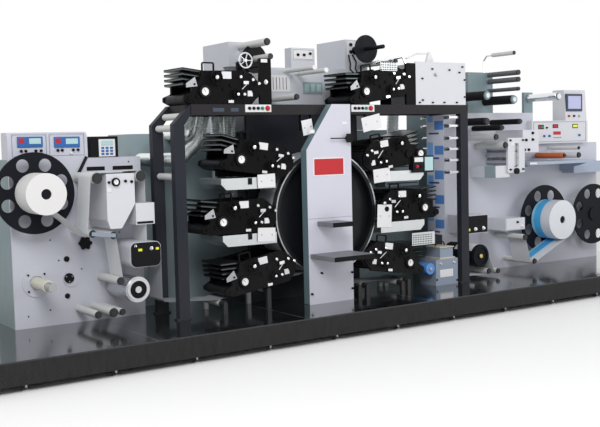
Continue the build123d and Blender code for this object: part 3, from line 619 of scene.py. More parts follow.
def makeUnitFittings(values):
    face = values["face"]
    stations = unitStations(values)
    ring, white, marks = makeDial(0, 0, face, values["dialRadius"], values["tickCount"])
    marks = joinAll("marks", marks)
    width, height = values["namePlate"]
    half = values["squarePlate"] / 2
    thick = values["plateThick"]
    plate = blockAt(-width / 2, width / 2, face - thick, face, -height / 2, height / 2)
    square = blockAt(-half, half, face - thick, face, -half, half)
    screw, knob = (turnedAt(0, 0, [(face + depth, radius) for depth, radius in values[steps]], sides)
                   for steps, sides in (("screwSteps", 10), ("knobSteps", 14)))
    wide, deep, high = values["lugSize"]
    lug = blockAt(-wide / 2, wide / 2, face - deep, face, -high / 2, high / 2, 0.003)
    lever = rodAlong([(reach, face + depth, reach) for reach, depth in values["leverEnds"]],
                     values["leverRadius"])
    hubs = [turnedAt(0, 0, [(depth, size), (depth - 0.008, size), (depth - 0.01, size * 0.7)], 14)
            for depth, size in values["wheelHubs"]]
    bright = ([(knob, place) for place in values["knobPlaces"]]
              + [(lug, place) for place in values["lugPlaces"]]
              + [(lever, values["leverPlace"])] + list(zip(hubs, values["hubPlaces"])))
    start, pitch, edge = values["finStart"], values["finPitch"], values["edge"]
    fin = blockAt(-edge, values["finLength"] + edge, *values["finDepth"], -edge, values["finTop"], edge)
    bags = {name: [] for name in ("Fins", "DialRings", "DialFaces", "DialMarks", "Plates", "Screws",
                                  "BrightFittings")}
    for station in stations:
        hand, level = station[3], station[4]
        dialAt = values["farDialAt"] if (level, hand) == (45, 1) else values["dialAt"]
        for source, bag in ((ring, "DialRings"), (white, "DialFaces"), (marks, "DialMarks")):
            bags[bag].append(onUnit(source, station, *dialAt))
        if level != "topRight":
            bags["Plates"].append(onUnit(plate, station, *values["nameAt"][hand]))
        bags["Plates"].append(onUnit(square, station, *values["squareAt"]))
        for number, place in enumerate(values["screwPlaces"]):
            if level != "topRight" or number % 2:
                bags["Screws"].append(onUnit(screw, station, *place))
        for source, place in bright:
            bags["BrightFittings"].append(onUnit(source, station, *place))
        for i in range(values["finCount"]):
            x, z = unitPlace(station, start[0], start[1] + i * pitch)
            slope = math.radians(station[2] + values["finSlope"])
            turn = Matrix.Rotation(-slope if hand > 0 else math.pi + slope, 4, "Y")
            bags["Fins"].append(copyAt(fin, "fin", Matrix.Translation((x, 0, z)) @ turn))
        if hand < 0:
            corners = [unitPlace(station, *corner) for corner in values["shield"]]
            shield = plateAt(corners, *(face + depth for depth in values["shieldDepth"]))
            finish(shield, finishes["zincSteel"])
            shield.name = f"unitShield{len(bags['Fins'])}"
    for source in (ring, white, marks, plate, square, screw, knob, lug, lever, fin, *hubs):
        discard(source)
    for name, finishName in (("DialRings", "boxBlack"), ("DialFaces", "dialFace"), ("DialMarks", "capRubber"),
                             ("Plates", "plateWhite"), ("Screws", "capRubber"), ("BrightFittings", "chrome"),
                             ("Fins", "finSteel")):
        finishAll(f"unit{name}", bags[name], finishName, smooth=0 if name == "DialMarks" else 30)


makeUnitFittings(unitValues)
print("printing unit fittings made")


# Dryers: white end plates, black windows, tilted plates beside the units

dryerValues = {
    "face": -0.37,
    "plates": ((-1.23, 1.248, 0.166, 0.108, 2), (-1.242, 0.815, 0.166, 0.112, -3),
               (-0.819, 1.672, 0.105, 0.125, 10), (-0.045, 1.246, 0.185, 0.118, 5),
               (-0.024, 0.89, 0.16, 0.2, -3), (-0.15, 1.702, 0.205, 0.125, 12)),
    "windows": ((-1.38, 1.25), (-1.392, 0.812)), "windowSize": (0.038, 0.052),
    "studShare": 0.3, "studSteps": ((0.02, 0.006), (-0.013, 0.006)),
    "hangers": ((-0.15, 1.702), (-0.819, 1.672)), "hangerTop": 1.776, "hangerHalf": 0.01, "hangerSides": 0.05,
}


def makeDryerPlates(values):
    face = values["face"]
    plates, screws = [], []
    for x, z, width, height, lean in values["plates"]:
        plate = blockAt(x - width / 2, x + width / 2, face - 0.01, face - 0.006,
                        z - height / 2, z + height / 2)
        plates.append(turnInPlane(plate, x, z, lean))
        for side in (-1, 1):                                   # two studs hold each plate off the dryer
            stud = turnedAt(x + side * width * values["studShare"], z,
                            [(face + depth, radius) for depth, radius in values["studSteps"]], 8)
            screws.append(turnInPlane(stud, x, z, lean))
    windows = []
    width, height = values["windowSize"]
    for x, z in values["windows"]:
        windows.append(blockAt(x - width / 2, x + width / 2, face - 0.004, face,
                               z - height / 2, z + height / 2))
    half, reach = values["hangerHalf"], values["hangerSides"]
    for x, z in values["hangers"]:                             # two straps up to the beam
        for side in (-reach, reach):
            windows.append(blockAt(x + side - half, x + side + half, face - 0.006, face + 0.03, z - 0.03,
                                   values["hangerTop"], 0))
    finishAll("dryerPlates", plates, "plateWhite")
    finishAll("dryerStuds", screws, "zincSteel")
    finishAll("dryerWindows", windows, "boxBlack")


makeDryerPlates(dryerValues)
print("dryer plates made")


# Webs: paper, label stock and film, each a strip held tight between rollers

webValues = {"width": 0.24, "centre": -0.15, "drumAt": (-0.6, 0.95), "wrap": 0.5215}


def arc(centre, radius, first, last, step=5):
    count = max(2, int(abs(last - first) / step))
    return [(centre[0] + radius * math.cos(math.radians(first + (last - first) * i / count)),
             centre[1] + radius * math.sin(math.radians(first + (last - first) * i / count)))
            for i in range(count + 1)]


def web(name, points, finishName="webPaper", width=webValues["width"]):
    data = bpy.data.curves.new(name, "CURVE")
    data.dimensions = "2D"
    data.fill_mode = "NONE"
    data.extrude = width / 2
    spline = data.splines.new("POLY")
    spline.points.add(len(points) - 1)
    for (x, z), point in zip(points, spline.points):
        point.co = (x, z, 0, 1)
    strip = bpy.data.objects.new(name, data)
    strip.rotation_euler = (math.pi / 2, 0, 0)
    strip.location = (0, webValues["centre"], 0)
    bpy.context.collection.objects.link(strip)
    pick(strip)
    bpy.ops.object.convert(target="MESH")
    strip = settle(bpy.context.object, name)
    finish(strip, finishes[finishName])


def makeWebs(values):
    drum, wrap = values["drumAt"], values["wrap"]
    web("webFromRoll", [(-2.936, 1.09), (-2.694, 0.893)])
    web("webOverGauge", arc((-2.68, 0.919), 0.0285, 250, 176) + arc((-2.63, 1.323), 0.0405, 176, 92)
        + arc((-2.283, 1.327), 0.0405, 90, 0) + [(-2.2425, 1.123)])
    web("webDown", arc((-2.52, 0.896), 0.0285, 100, 8) + arc((-2.475, 0.552), 0.0305, 8, -80))
    web("webToPress", [(-2.128, 0.8), (-2.128, 0.372), (-2.11, 0.352), (-1.64, 0.3145)]
        + [(-1.234, 0.3865), (-1.21, 0.3885)] + arc(drum, wrap, 250, -70),
        "drumWeb")
    web("webFromPress", [(-0.4218, 0.4598), (-0.312, 0.309), (-0.292, 0.3155), (-0.205, 0.3145)]
        + [(0.191, 0.3005), (0.261, 0.3115), (0.278, 0.305)], "drumWeb")
    web("filmWeb", [(0.7825, 1.768), (0.7825, 0.68), (0.788, 0.655)], "filmPrint")
    web("webAtOutfeed", arc((1.212, 0.426), 0.1105, 150, 20) + arc((1.444, 0.262), 0.0255, 200, 250))
    web("webLow", [(1.04, 0.2465), (1.323, 0.2415)])
    web("webMiddle", arc((1.822, 0.562), 0.0285, 60, 10) + arc((1.955, 0.311), 0.0285, 190, 250))
    web("labelWeb", arc((1.955, 0.311), 0.0285, 260, 290) + arc((2.4, 0.696), 0.2005, 300, 330),
        "labelStock")


makeWebs(webValues)
print("webs strung")


# Exhaust: silver bellows ducts under their plenum, in place of the plain ones

ductValues = {
    "radius": 0.056, "rib": 0.005, "ribPitch": 0.013, "sides": 22, "bend": 0.1, "bendShare": 0.45,
    "plenum": (-1.76, -1.19),
    "plenumDepth": (0.06, 0.25), "plenumHeight": (1.794, 1.858),
    "routes": (((-1.375, 0.15, 1.794), (-1.375, 0.15, 1.219), (-1.375, 0.0, 1.219)),
               ((-1.254, 0.15, 1.794), (-1.254, 0.15, 0.772), (-1.254, 0.0, 0.772)),
               ((-1.5, 0.15, 1.794), (-1.555, 0.15, 1.58), (-1.72, 0.15, 1.434), (-1.94, 0.15, 1.434),
                (-1.94, 0.45, 1.434)),
               ((-1.622, 0.15, 1.794), (-1.665, 0.15, 1.628), (-1.665, 0.45, 1.628))),
    "rightRoute": ((0.53, 0.15, 1.858), (0.505, 0.15, 1.44), (0.37, 0.15, 1.24), (0.37, 0.0, 1.24)),
}


def bellows(route, values):
    # one rib, repeated along a curve that bends evenly at each corner
    data = bpy.data.curves.new("ductRoute", "CURVE")
    data.dimensions = "3D"
    data.resolution_u = 16
    points = [Vector(route[0])]
    for before, corner, after in zip(route, route[1:], route[2:]):
        corner = Vector(corner)
        for other in (before, after):
            leg = Vector(other) - corner
            points.append(corner + leg.normalized() * min(values["bend"], leg.length * values["bendShare"]))
        points.insert(-1, corner)
    points.append(Vector(route[-1]))
    spline = data.splines.new("NURBS")
    spline.points.add(len(points) - 1)
    for place, point in zip(points, spline.points):
        point.co = (*place, 1)
    spline.order_u = 3
    spline.use_endpoint_u = True
    path = bpy.data.objects.new("ductRoute", data)
    bpy.context.collection.objects.link(path)
    radius, rib, pitch = values["radius"], values["rib"], values["ribPitch"]
    deselectAll()
    bpy.ops.mesh.primitive_circle_add(vertices=values["sides"], radius=radius, rotation=(0, math.pi / 2, 0))
    duct = settle(bpy.context.object, "duct")
    editMode()
    bpy.ops.mesh.select_all(action="SELECT")
    for stepTo, ratio in ((pitch / 2, (radius - rib) / radius), (pitch, radius / (radius - rib))):
        bpy.ops.mesh.extrude_region_move(TRANSFORM_OT_translate={"value": (pitch / 2, 0, 0)})
        bpy.ops.transform.resize(value=(ratio, ratio, ratio), center_override=(stepTo, 0, 0))
    objectMode()
    runModifier(duct, "ARRAY", fit_type="FIT_CURVE", curve=path, relative_offset_displace=(1, 0, 0),
                use_merge_vertices=True, merge_threshold=0.0005)
    runModifier(duct, "CURVE", object=path, deform_axis="POS_X")
    pick(duct)
    editMode()
    closeShell()
    discard(path)
    return duct


def makeDucts(values):
    ducts = [bellows(route, values) for route in values["routes"]]
    plenum = blockAt(*values["plenum"], *values["plenumDepth"], *values["plenumHeight"], 0.003)
    left = finishAll("exhaustDucts", ducts + [plenum], "ductFoil", smooth=50)
    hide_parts("exhaust_ducts")
    finishAll("rightExhaustDuct", [bellows(values["rightRoute"], values)], "ductFoil", smooth=50)


makeDucts(ductValues)
print("exhaust ducts made")


# Chequer plate: raised lozenges, turned two ways, over the skirts

skirtValues = {"pitch": 0.019, "long": 0.0105, "wide": 0.0036, "rise": 0.0012, "length": 7.5, "depth": 1.9,
               "bottom": 0.05, "height": 0.15, "taper": (0.55, 1, 0.45)}


def makeLozenges(values):
    pitch = values["pitch"]
    tile = []
    for column in (0, 1):
        for row in (0, 1):
            deselectAll()
            bpy.ops.mesh.primitive_circle_add(vertices=4, radius=1, fill_type="NGON",
                                              rotation=(math.pi / 2, 0, 0))
            bump = settle(bpy.context.object, "bump")
            bump.data.transform(Matrix.Diagonal((values["long"], 1, values["wide"], 1)))
            selectFaces(bump, lambda face: True)
            bpy.ops.mesh.extrude_region_move(TRANSFORM_OT_translate={"value": (0, -values["rise"], 0)})
            bpy.ops.transform.resize(value=values["taper"], center_override=(0, 0, 0))
            objectMode()
            selectFaces(bump, lambda face: all(abs(bump.data.vertices[i].co.y) < 1e-6 for i in face.vertices))
            bpy.ops.mesh.delete(type="FACE")
            objectMode()
            turnInPlane(bump, 0, 0, 45 if column == row else -45)
            bump.data.transform(Matrix.Translation((column * pitch, 0, row * pitch)))
            tile.append(bump)
    tile = joinAll("tile", tile)
    rows = int(values["height"] / pitch / 2)
    runModifier(tile, "ARRAY", count=rows, use_relative_offset=False, use_constant_offset=True,
                constant_offset_displace=(0, 0, 2 * pitch))
    sides = []
    for length, turn in ((values["length"], 0), (values["depth"], 90), (values["length"], 180),
                         (values["depth"], 270)):
        side = copyAt(tile, "skirtSide", Matrix.Identity(4))
        count = int(length / pitch / 2)
        runModifier(side, "ARRAY", count=count, use_relative_offset=False, use_constant_offset=True,
                    constant_offset_displace=(2 * pitch, 0, 0))
        out = values["depth"] / 2 if turn in (0, 180) else values["length"] / 2
        start = Matrix.Translation((-(count - 0.5) * pitch, -out, values["bottom"] + pitch))
        side.data.transform(Matrix.Rotation(math.radians(turn), 4, "Z") @ start)
        sides.append(side)
    discard(tile)
    return sides


def makeChequerPlate(values):
    front, right, rear, left = makeLozenges(values)
    finishAll("chequerFront", [front, left], "skirtPaint", smooth=0)
    finishAll("chequerRear", [rear, right], "skirtPaint", smooth=0)


makeChequerPlate(skirtValues)
print("chequer plate made")


# Small fittings: blocks as (left, right, front, back, bottom, top), knobs as (x, z, face, radius), by finish

knobShape = {"seat": 0.003, "rise": 0.018, "skirt": 0.35, "step": 0.4, "grip": 0.78, "cap": 0.72, "top": 0.6,
             "crown": 0.002}


def knobAt(x, z, face, radius, rise=knobShape["rise"]):
    # a low skirt, a narrower grip and a rounded crown
    shape = knobShape
    return turnedAt(x, z, [(face + shape["seat"], radius), (face - rise * shape["skirt"], radius),
                           (face - rise * shape["step"], radius * shape["grip"]),
                           (face - rise, radius * shape["cap"]),
                           (face - rise - shape["crown"], radius * shape["top"])], 16)


def discAt(x, z, back, front, radius, rim=0.0015):
    return turnedAt(x, z, [(back, radius - rim), (back - rim, radius), (front + rim, radius),
                           (front, radius - rim)], 32)


def frameRows(left, right, front, back, bottom, top, bar=0.003):
    # four thin bars round a panel
    return [(left, right, front, back, bottom, bottom + bar), (left, right, front, back, top - bar, top),
            (left, left + bar, front, back, bottom, top), (right - bar, right, front, back, bottom, top)]


def fitAll(area, blocks=None, knobs=None, discs=None, body=pressBody, more=None):
    made = {}
    for table, make in ((blocks, blockAt), (knobs, knobAt), (discs, discAt)):
        for finishName, rows in (table or {}).items():
            made.setdefault(finishName, []).extend(make(*row) for row in rows)
    for finishName, pieces in (more or {}).items():
        made.setdefault(finishName, []).extend(pieces)
    for finishName, pieces in made.items():
        finishAll(area + finishName[0].upper() + finishName[1:], pieces, finishName, body)


# Unwinder: tension panels, keypad, gauge and corona boxes, knobs on the side plate

unwindBlocks = {
    "blueKeys": [(-3.078, -2.886, 0.102, 0.114, 1.56, 1.638), (-2.798, -2.597, 0.102, 0.114, 1.553, 1.633)]
    + [(x, x + 0.024, 0.094, 0.1, z, z + 0.016) for x in (-2.428, -2.392, -2.356)
       for z in (1.488, 1.511, 1.534)],
    "redPaint": [(-3.068, -3.028, 0.1, 0.104, 1.592, 1.626), (-2.788, -2.748, 0.1, 0.104, 1.586, 1.62)],
    "paleScreen": [(-2.99, -2.9, 0.1, 0.104, 1.584, 1.626), (-2.708, -2.612, 0.1, 0.104, 1.578, 1.62),
                   (-2.428, -2.332, 0.094, 0.1, 1.562, 1.598)],
    "greyPaint": frameRows(-3.118, -2.856, 0.107, 0.114, 1.492, 1.658)
    + frameRows(-2.834, -2.56, 0.107, 0.114, 1.492, 1.658),
    "boxBlack": [(-2.5135, -2.2855, 0.1045, 0.2615, 1.4715, 1.6315),
                 (-2.548, -2.401, 0.106, 0.114, 1.37, 1.4),
                 (-2.335, -2.166, 0.106, 0.114, 1.37, 1.4), (-2.318, -2.184, -0.2745, -0.268, 0.966, 0.984)],
    "plateWhite": [(-2.446, -2.312, 0.098, 0.106, 1.476, 1.61),
                   (-2.552, -2.512, -0.2735, -0.268, 1.215, 1.245)],
    "whitePaint": [(-2.325, -2.172, -0.272, 0.112, 0.96, 1.1225)],
    "yellowLabel": [(-2.328, -2.296, -0.2985, -0.294, 0.762, 0.781),
                    (-2.184, -2.158, -0.2985, -0.294, 0.764, 0.782)],
}
unwindKnobs = {
    "boxBlack": [(x, 1.533, 0.11, 0.011) for x in (-3.05, -3.016, -2.94, -2.9, -2.771, -2.737, -2.65, -2.612)]
    + [(-2.532, 1.288, -0.27, 0.01), (-2.401, 1.293, -0.27, 0.011), (-2.352, 1.287, -0.27, 0.011),
       (-2.738, 0.706, 0.11, 0.022), (-2.743, 0.423, 0.11, 0.02)],
    "plateWhite": [(-2.67, 1.51, 0.11, 0.012)],
    "chrome": [(-2.351, 0.804, -0.295, 0.01), (-2.221, 0.779, -0.295, 0.014)],
}
sidePlateValues = {
    "lobedKnob": (-2.59, 0.817), "lobedRadius": 0.052, "lobes": 6, "lobeShare": 0.28, "lobeCircle": 0.74,
    "flangeDisc": (-2.729, 0.56), "flangeRadius": 0.038, "flangeBolts": (0.5, 2.6, 4.7),
    "flangeCircle": 0.026,
    "spindleAt": (-2.98, 0.548), "boltCircle": 0.088, "boltTurns": (45, 135, 225, 315),
    "dots": ((-3.02, 0.93), (-2.86, 0.86), (-2.8, 0.7), (-2.88, 0.33), (-3.05, 0.3), (-2.62, 0.62),
             (-2.4, 1.2), (-2.58, 1.14), (-2.3, 0.88), (-3.1, 1.43), (-2.2, 1.43)),
    "corona": (-2.386, -2.144, 0.644, 0.826), "coronaCorner": 0.042,
    "linkBar": ((-2.694, 0.906), (-2.508, 0.882), (-2.504, 0.91), (-2.69, 0.934)),
    "lever": ((-2.548, 0.104, 1.478), (-2.63, 0.1, 1.333)), "leverRadius": 0.012,
    "gaugeDial": (-2.48, 1.289, -0.27, 0.032, 7), "drumFace": (-2.339, 0.475, -0.288, -0.2935, 0.083),
    "webIntoCorona": [(-2.2425, 0.96), (-2.2425, 0.83)],
}


def around(centre, radius, turn):
    return centre[0] + radius * math.cos(turn), centre[1] + radius * math.sin(turn)


def makeUnwinderFittings(values):
    reach = values["lobedRadius"]
    black = [discAt(*values["lobedKnob"], 0.113, 0.08, reach * 0.8)]
    for i in range(values["lobes"]):
        place = around(values["lobedKnob"], reach * values["lobeCircle"], 2 * math.pi * i / values["lobes"])
        black.append(discAt(*place, 0.102, 0.078, reach * values["lobeShare"]))
    black.append(discAt(*values["flangeDisc"], 0.1, 0.088, values["flangeRadius"]))
    bolts = [knobAt(*around(values["flangeDisc"], values["flangeCircle"], turn), 0.088, 0.005, 0.005)
             for turn in values["flangeBolts"]]
    for turn in values["boltTurns"]:
        place = around(values["spindleAt"], values["boltCircle"], math.radians(turn))
        black.append(knobAt(*place, 0.098, 0.008, 0.007))
    black += [knobAt(x, z, 0.11, 0.006, 0.004) for x, z in values["dots"]]
    left, right, bottom, top = values["corona"]
    corner = values["coronaCorner"]
    middles = ((right - corner, top - corner), (left + corner, top - corner),
               (left + corner, bottom + corner),
               (right - corner, bottom + corner))
    outline = [point for i, middle in enumerate(middles)
               for point in arc(middle, corner, 90 * i, 90 * i + 90, 18)]
    black += [plateAt(outline, -0.295, -0.288), rodAlong(values["lever"], values["leverRadius"])]
    ring, white, marks = makeDial(*values["gaugeDial"])
    fitAll("unwinder", unwindBlocks, unwindKnobs, more={
        "boxBlack": black + [ring], "zincSteel": bolts,
        "greyPaint": [plateAt(values["linkBar"], -0.304, -0.29)],
        "dialFace": [white], "capRubber": marks})
    fitAll("infeedDrumFace", discs={"boxBlack": [values["drumFace"]]}, body="infeed_drum")
    web("webIntoCorona", values["webIntoCorona"])


makeUnwinderFittings(sidePlateValues)
print("unwinder fittings made")


# Column and gantry: bare sign, bolts, seam, push-button strips

columnBlocks = {
    "plateWhite": [(-0.822, -0.505, -0.453, -0.448, 1.267, 1.419),
                   (-1.407, -1.166, -0.3775, -0.368, 1.797, 1.856),
                   (-0.361, -0.114, -0.3775, -0.368, 1.797, 1.856),
                   (-1.25, -1.19, -0.3735, -0.368, 2.19, 2.218),
                   (-0.85, -0.8, -0.4525, -0.448, 1.62, 1.65), (-0.52, -0.47, -0.4525, -0.448, 1.69, 1.712)],
    "redPaint": [(-0.812, -0.515, -0.4545, -0.45, 1.277, 1.409)],
    "slateBezel": [(-0.884, -0.432, -0.4508, -0.448, 0.917, 0.9205), (-1.7, -1.6, -0.3795, -0.37, 1.8, 1.83),
                   (-1.54, -1.47, -0.3795, -0.37, 1.8, 1.83)],
}
columnKnobs = {
    "boxBlack": [(x, z, -0.45, 0.01) for x, z in ((-0.762, 0.465), (-0.446, 0.443), (-0.863, 0.3),
                                                  (-0.445, 0.306))]
    + [(left + step, 1.827, -0.377, 0.013) for left in (-1.407, -0.361) for step in (0.035, 0.075, 0.115)],
    "greenButton": [(left + 0.155, 1.827, -0.377, 0.014) for left in (-1.407, -0.361)],
    "redPaint": [(left + 0.205, 1.827, -0.377, 0.021) for left in (-1.407, -0.361)],
}
fitAll("gantry", columnBlocks, columnKnobs)
print("sign and push-button strips made")


# Top works: hand wheel, boxes' panels, perforated plates, bolts on the gearbox

topBlocks = {
    "plateWhite": [(-0.6, -0.376, 0.145, 0.153, 2.272, 2.368), (-0.837, -0.634, 0.145, 0.153, 1.991, 2.135),
                   (0.0, 0.082, 0.145, 0.153, 2.331, 2.453)],
    "boxBlack": frameRows(-0.594, -0.382, 0.1435, 0.147, 2.278, 2.362)
    + [(x, x + 0.006, 0.1435, 0.147, 2.01, 2.116) for x in (-0.812, -0.778, -0.744, -0.71, -0.676)]
    + [(-1.412, -1.396, -0.378, -0.35, 2.09, 2.205)],
    "tealDoor": [(-0.494, -0.291, 0.144, 0.153, 1.976, 2.08)],
    "paleScreen": [(x, x + 0.046, 0.1415, 0.146, 1.995, 2.06) for x in (-0.48, -0.415, -0.35)],
    "stainless": [(-0.036, 0.15, -0.3755, -0.368, 2.15, 2.226), (0.29, 0.56, -0.376, -0.368, 0.6, 0.716)],
}
topKnobs = {
    "boxBlack": [(x, z, 0.146, 0.013) for x, z in ((-0.545, 2.317), (-0.48, 2.317), (-0.415, 2.33))]
    + [(0.036, 2.425, 0.146, 0.016), (0.034, 2.36, 0.146, 0.016)]
    + [(x, z, -0.37, 0.008) for x, z in ((0.557, 2.178), (0.763, 2.173), (0.924, 2.204), (0.886, 2.153),
                                          (0.437, 2.091), (0.95, 2.086), (0.439, 1.9), (0.951, 1.93),
                                          (0.404, 1.878), (0.558, 1.878), (0.697, 1.879), (0.85, 1.879))],
    "zincSteel": [(0.598, 2.129, -0.37, 0.016)],
    "chrome": [(-1.21, 2.035, -0.37, 0.018)],
}
topDiscs = {
    "boxBlack": [(-1.105, 2.25, -0.0265, -0.0415, 0.1195)],
    "plateWhite": [(-0.68, 2.17, -0.289, -0.3035, 0.0212), (-0.56, 2.15, -0.289, -0.3035, 0.0212)],
}
topValues = {"wheelAt": (-1.404, 2.2), "wheelRadius": 0.058, "wheelFace": -0.392, "spokes": 5,
             "rimRadius": 0.0065, "spokeRadius": 0.004, "hubRadius": 0.014, "barRadius": 0.013,
             "tieRadius": 0.007,
             "cableRadius": 0.007, "dotRadius": 0.0062,
             "bracket": ((0.537, 2.238), (0.635, 2.238), (0.596, 2.336), (0.576, 2.336)),
             "bar": ((-0.014, -0.27, 2.228), (0.305, -0.27, 2.286), (0.32, -0.29, 2.22)),
             "tie": ((0.32, -0.29, 2.27), (0.44, -0.3, 2.318), (0.586, -0.3, 2.322)),
             "cables": (((0.02, 0.16, 2.345), (-0.01, 0.09, 2.25), (-0.06, 0.03, 2.19), (-0.07, -0.04, 2.15)),
                        ((0.06, 0.16, 2.345), (0.05, 0.08, 2.26), (-0.01, 0.02, 2.2), (-0.03, -0.05, 2.14))),
             "perforations": ((-0.022, 2.162, 9, 4), (0.306, 0.614, 12, 5)), "perforationPitch": 0.0195}


def makeTopWorks(values):
    x, z = values["wheelAt"]
    face, radius = values["wheelFace"], values["wheelRadius"]
    deselectAll()
    bpy.ops.mesh.primitive_torus_add(location=(x, face, z), rotation=(math.pi / 2, 0, 0), major_segments=32,
                                     minor_segments=8, major_radius=radius, minor_radius=values["rimRadius"])
    bright = [settle(bpy.context.object, "rim")]
    for i in range(values["spokes"]):
        end = around((x, z), radius, 2 * math.pi * i / values["spokes"])
        bright.append(rodAlong([(x, face, z), (end[0], face, end[1])], values["spokeRadius"]))
    bright.append(discAt(x, z, -0.376, face - 0.008, values["hubRadius"]))
    bright += [rodAlong(values[part], values[f"{part}Radius"]) for part in ("bar", "tie")]
    dots = []
    pitch = values["perforationPitch"]
    for left, bottom, across, up in values["perforations"]:
        dot = discAt(left, bottom, -0.3745, -0.3762, values["dotRadius"], 0.0004)
        dots += spread(dot, [(column * pitch, 0, row * pitch)
                             for column in range(across) for row in range(up)])
    cables = [rodAlong(points, values["cableRadius"]) for points in values["cables"]]
    fitAll("topWorks", topBlocks, topKnobs, topDiscs, more={
        "chrome": bright, "boxBlack": dots + cables,
        "plateWhite": [plateAt(values["bracket"], -0.312, -0.292)]})


makeTopWorks(topValues)
print("top works made")


# Right of the press: louvred box, keypad, corona supply, film rolls

rightBlocks = {
    "tealDoor": [(0.54, 0.965, 0.3, 0.455, 1.101, 1.312), (0.862, 0.998, 0.44, 0.455, 1.462, 1.64)],
    "slateBezel": [(0.56, 0.945, 0.294, 0.302, z, z + 0.012)
                   for z in (1.125, 1.157, 1.189, 1.221, 1.253, 1.285)],
    "boxBlack": [(0.3, 0.54, -0.397, -0.33, 1.256, 1.404), (0.577, 0.595, -0.3735, -0.368, 0.256, 0.274),
                 (0.822, 0.84, -0.3735, -0.368, 0.232, 0.25)],
    "paleScreen": [(0.432, 0.53, -0.4005, -0.395, 1.27, 1.392)],
    "plateWhite": [(0.621, 0.781, -0.3738, -0.368, 0.282, 0.353),
                   (0.312, 0.412, -0.4005, -0.395, 1.35, 1.39)],
    "zincSteel": [(0.505, 0.577, -0.15, -0.132, 0.35, 0.394)],
    "beigePaint": [(0.636, 0.808, -0.36, -0.16, 0.5505, 0.56), (0.63, 0.814, -0.366, -0.154, 0.4485, 0.462)],
}
rightKnobs = {"redPaint": [(0.34, 1.31, -0.396, 0.015)], "boxBlack": [(0.385, 1.31, -0.396, 0.012)],
              "chrome": [(0.625, 0.41, -0.369, 0.01), (0.79, 0.41, -0.369, 0.01)]}
rightDiscs = {"blueFilm": [(0.515, 0.372, -0.14, -0.362, 0.052)],
              "zincSteel": [(0.515, 0.372, -0.13, -0.372, 0.016)]}
lidHandle = [(x, -0.26, z) for x, z in ((0.665, 0.556), (0.672, 0.585), (0.69, 0.6), (0.755, 0.6),
                                        (0.773, 0.585), (0.78, 0.556))]
fitAll("rightSide", rightBlocks, rightKnobs, rightDiscs, more={"boxBlack": [rodAlong(lidHandle, 0.006)]})
print("right side fittings made")


# Rewinder: sleeves on the tower's rollers, touch screen, console, knobs, caps

towerSleeves = {
    "capRubber": [(1.32, 1.952, 0.1, -0.288, 0.0436), (1.68, 1.915, 0.1, -0.288, 0.0436),
                  (1.312, 1.706, 0.1, -0.288, 0.0362), (1.764, 1.702, 0.1, -0.288, 0.0272),
                  (1.515, 1.645, 0.1, -0.288, 0.0272)],
    "darkRoller": [(1.74, 2.178, 0.1, -0.3036, 0.0252), (1.74, 2.111, 0.1, -0.3036, 0.0252),
                   (1.74, 2.02, 0.1, -0.3036, 0.0192)],
    "chrome": [(2.315, 1.95, 0.1, -0.288, 0.0392)],
    "orangeRubber": [(2.4, 1.352, 0.08, -0.288, 0.03)],
    "plateWhite": [(1.32, 1.952, -0.286, -0.306, 0.023), (1.68, 1.915, -0.286, -0.306, 0.023),
                   (2.315, 1.95, -0.286, -0.306, 0.029)],
    "rollerSleeve": [(1.689, 2.366, 0.0, -0.295, 0.02)],
    "boxBlack": [(1.718, 1.219, -0.27, -0.3, 0.03)],
}
drumCentre = {"brass": [(1.212, 0.426, -0.298, -0.3045, 0.02)]}
topRollerArm = [(1.689, -0.01, 2.366), (1.689, 0.08, 2.366), (1.715, 0.15, 2.32), (1.715, 0.15, 2.2)]
consoleBlocks = {
    "slateBezel": [(2.832, 3.082, 0.046, 0.08, 1.812, 1.997)]
    + frameRows(2.325, 3.14, 0.0475, 0.054, 1.492, 1.702),
    "lavenderScreen": [(2.856, 3.058, 0.0435, 0.05, 1.838, 1.975)],
    "boxBlack": [(2.395, 2.48, 0.0465, 0.054, 1.626, 1.672), (2.615, 2.7, 0.0465, 0.054, 1.636, 1.676),
                 (2.925, 3.01, 0.0465, 0.054, 1.632, 1.676), (1.182, 1.448, -0.1545, -0.148, 0.634, 0.799)]
    + [(x, x + 0.01, 0.0465, 0.054, 1.53, 1.54) for x in (2.63, 2.655, 2.68, 2.705, 2.73)],
    "redPaint": [(2.403, 2.436, 0.0445, 0.048, 1.634, 1.664), (2.623, 2.692, 0.0445, 0.048, 1.643, 1.669),
                 (2.625, 2.74, 0.0465, 0.054, 1.566, 1.6)],
    "greenButton": [(2.44, 2.472, 0.0445, 0.048, 1.634, 1.664)],
    "yellowLabel": [(2.933, 3.002, 0.0445, 0.048, 1.64, 1.668),
                    (1.186, 1.214, -0.1575, -0.153, 0.655, 0.679)],
    "tealDoor": [(1.4655, 1.6585, -0.2465, -0.1, 1.1595, 1.2765)],
    "whitePaint": [(1.706, 1.966, -0.1545, -0.148, 0.628, 0.736)],
    "plateWhite": [(1.65, 1.7, -0.2785, -0.273, 1.47, 1.5), (1.9, 2.0, -0.2925, -0.288, 1.276, 1.294)],
}
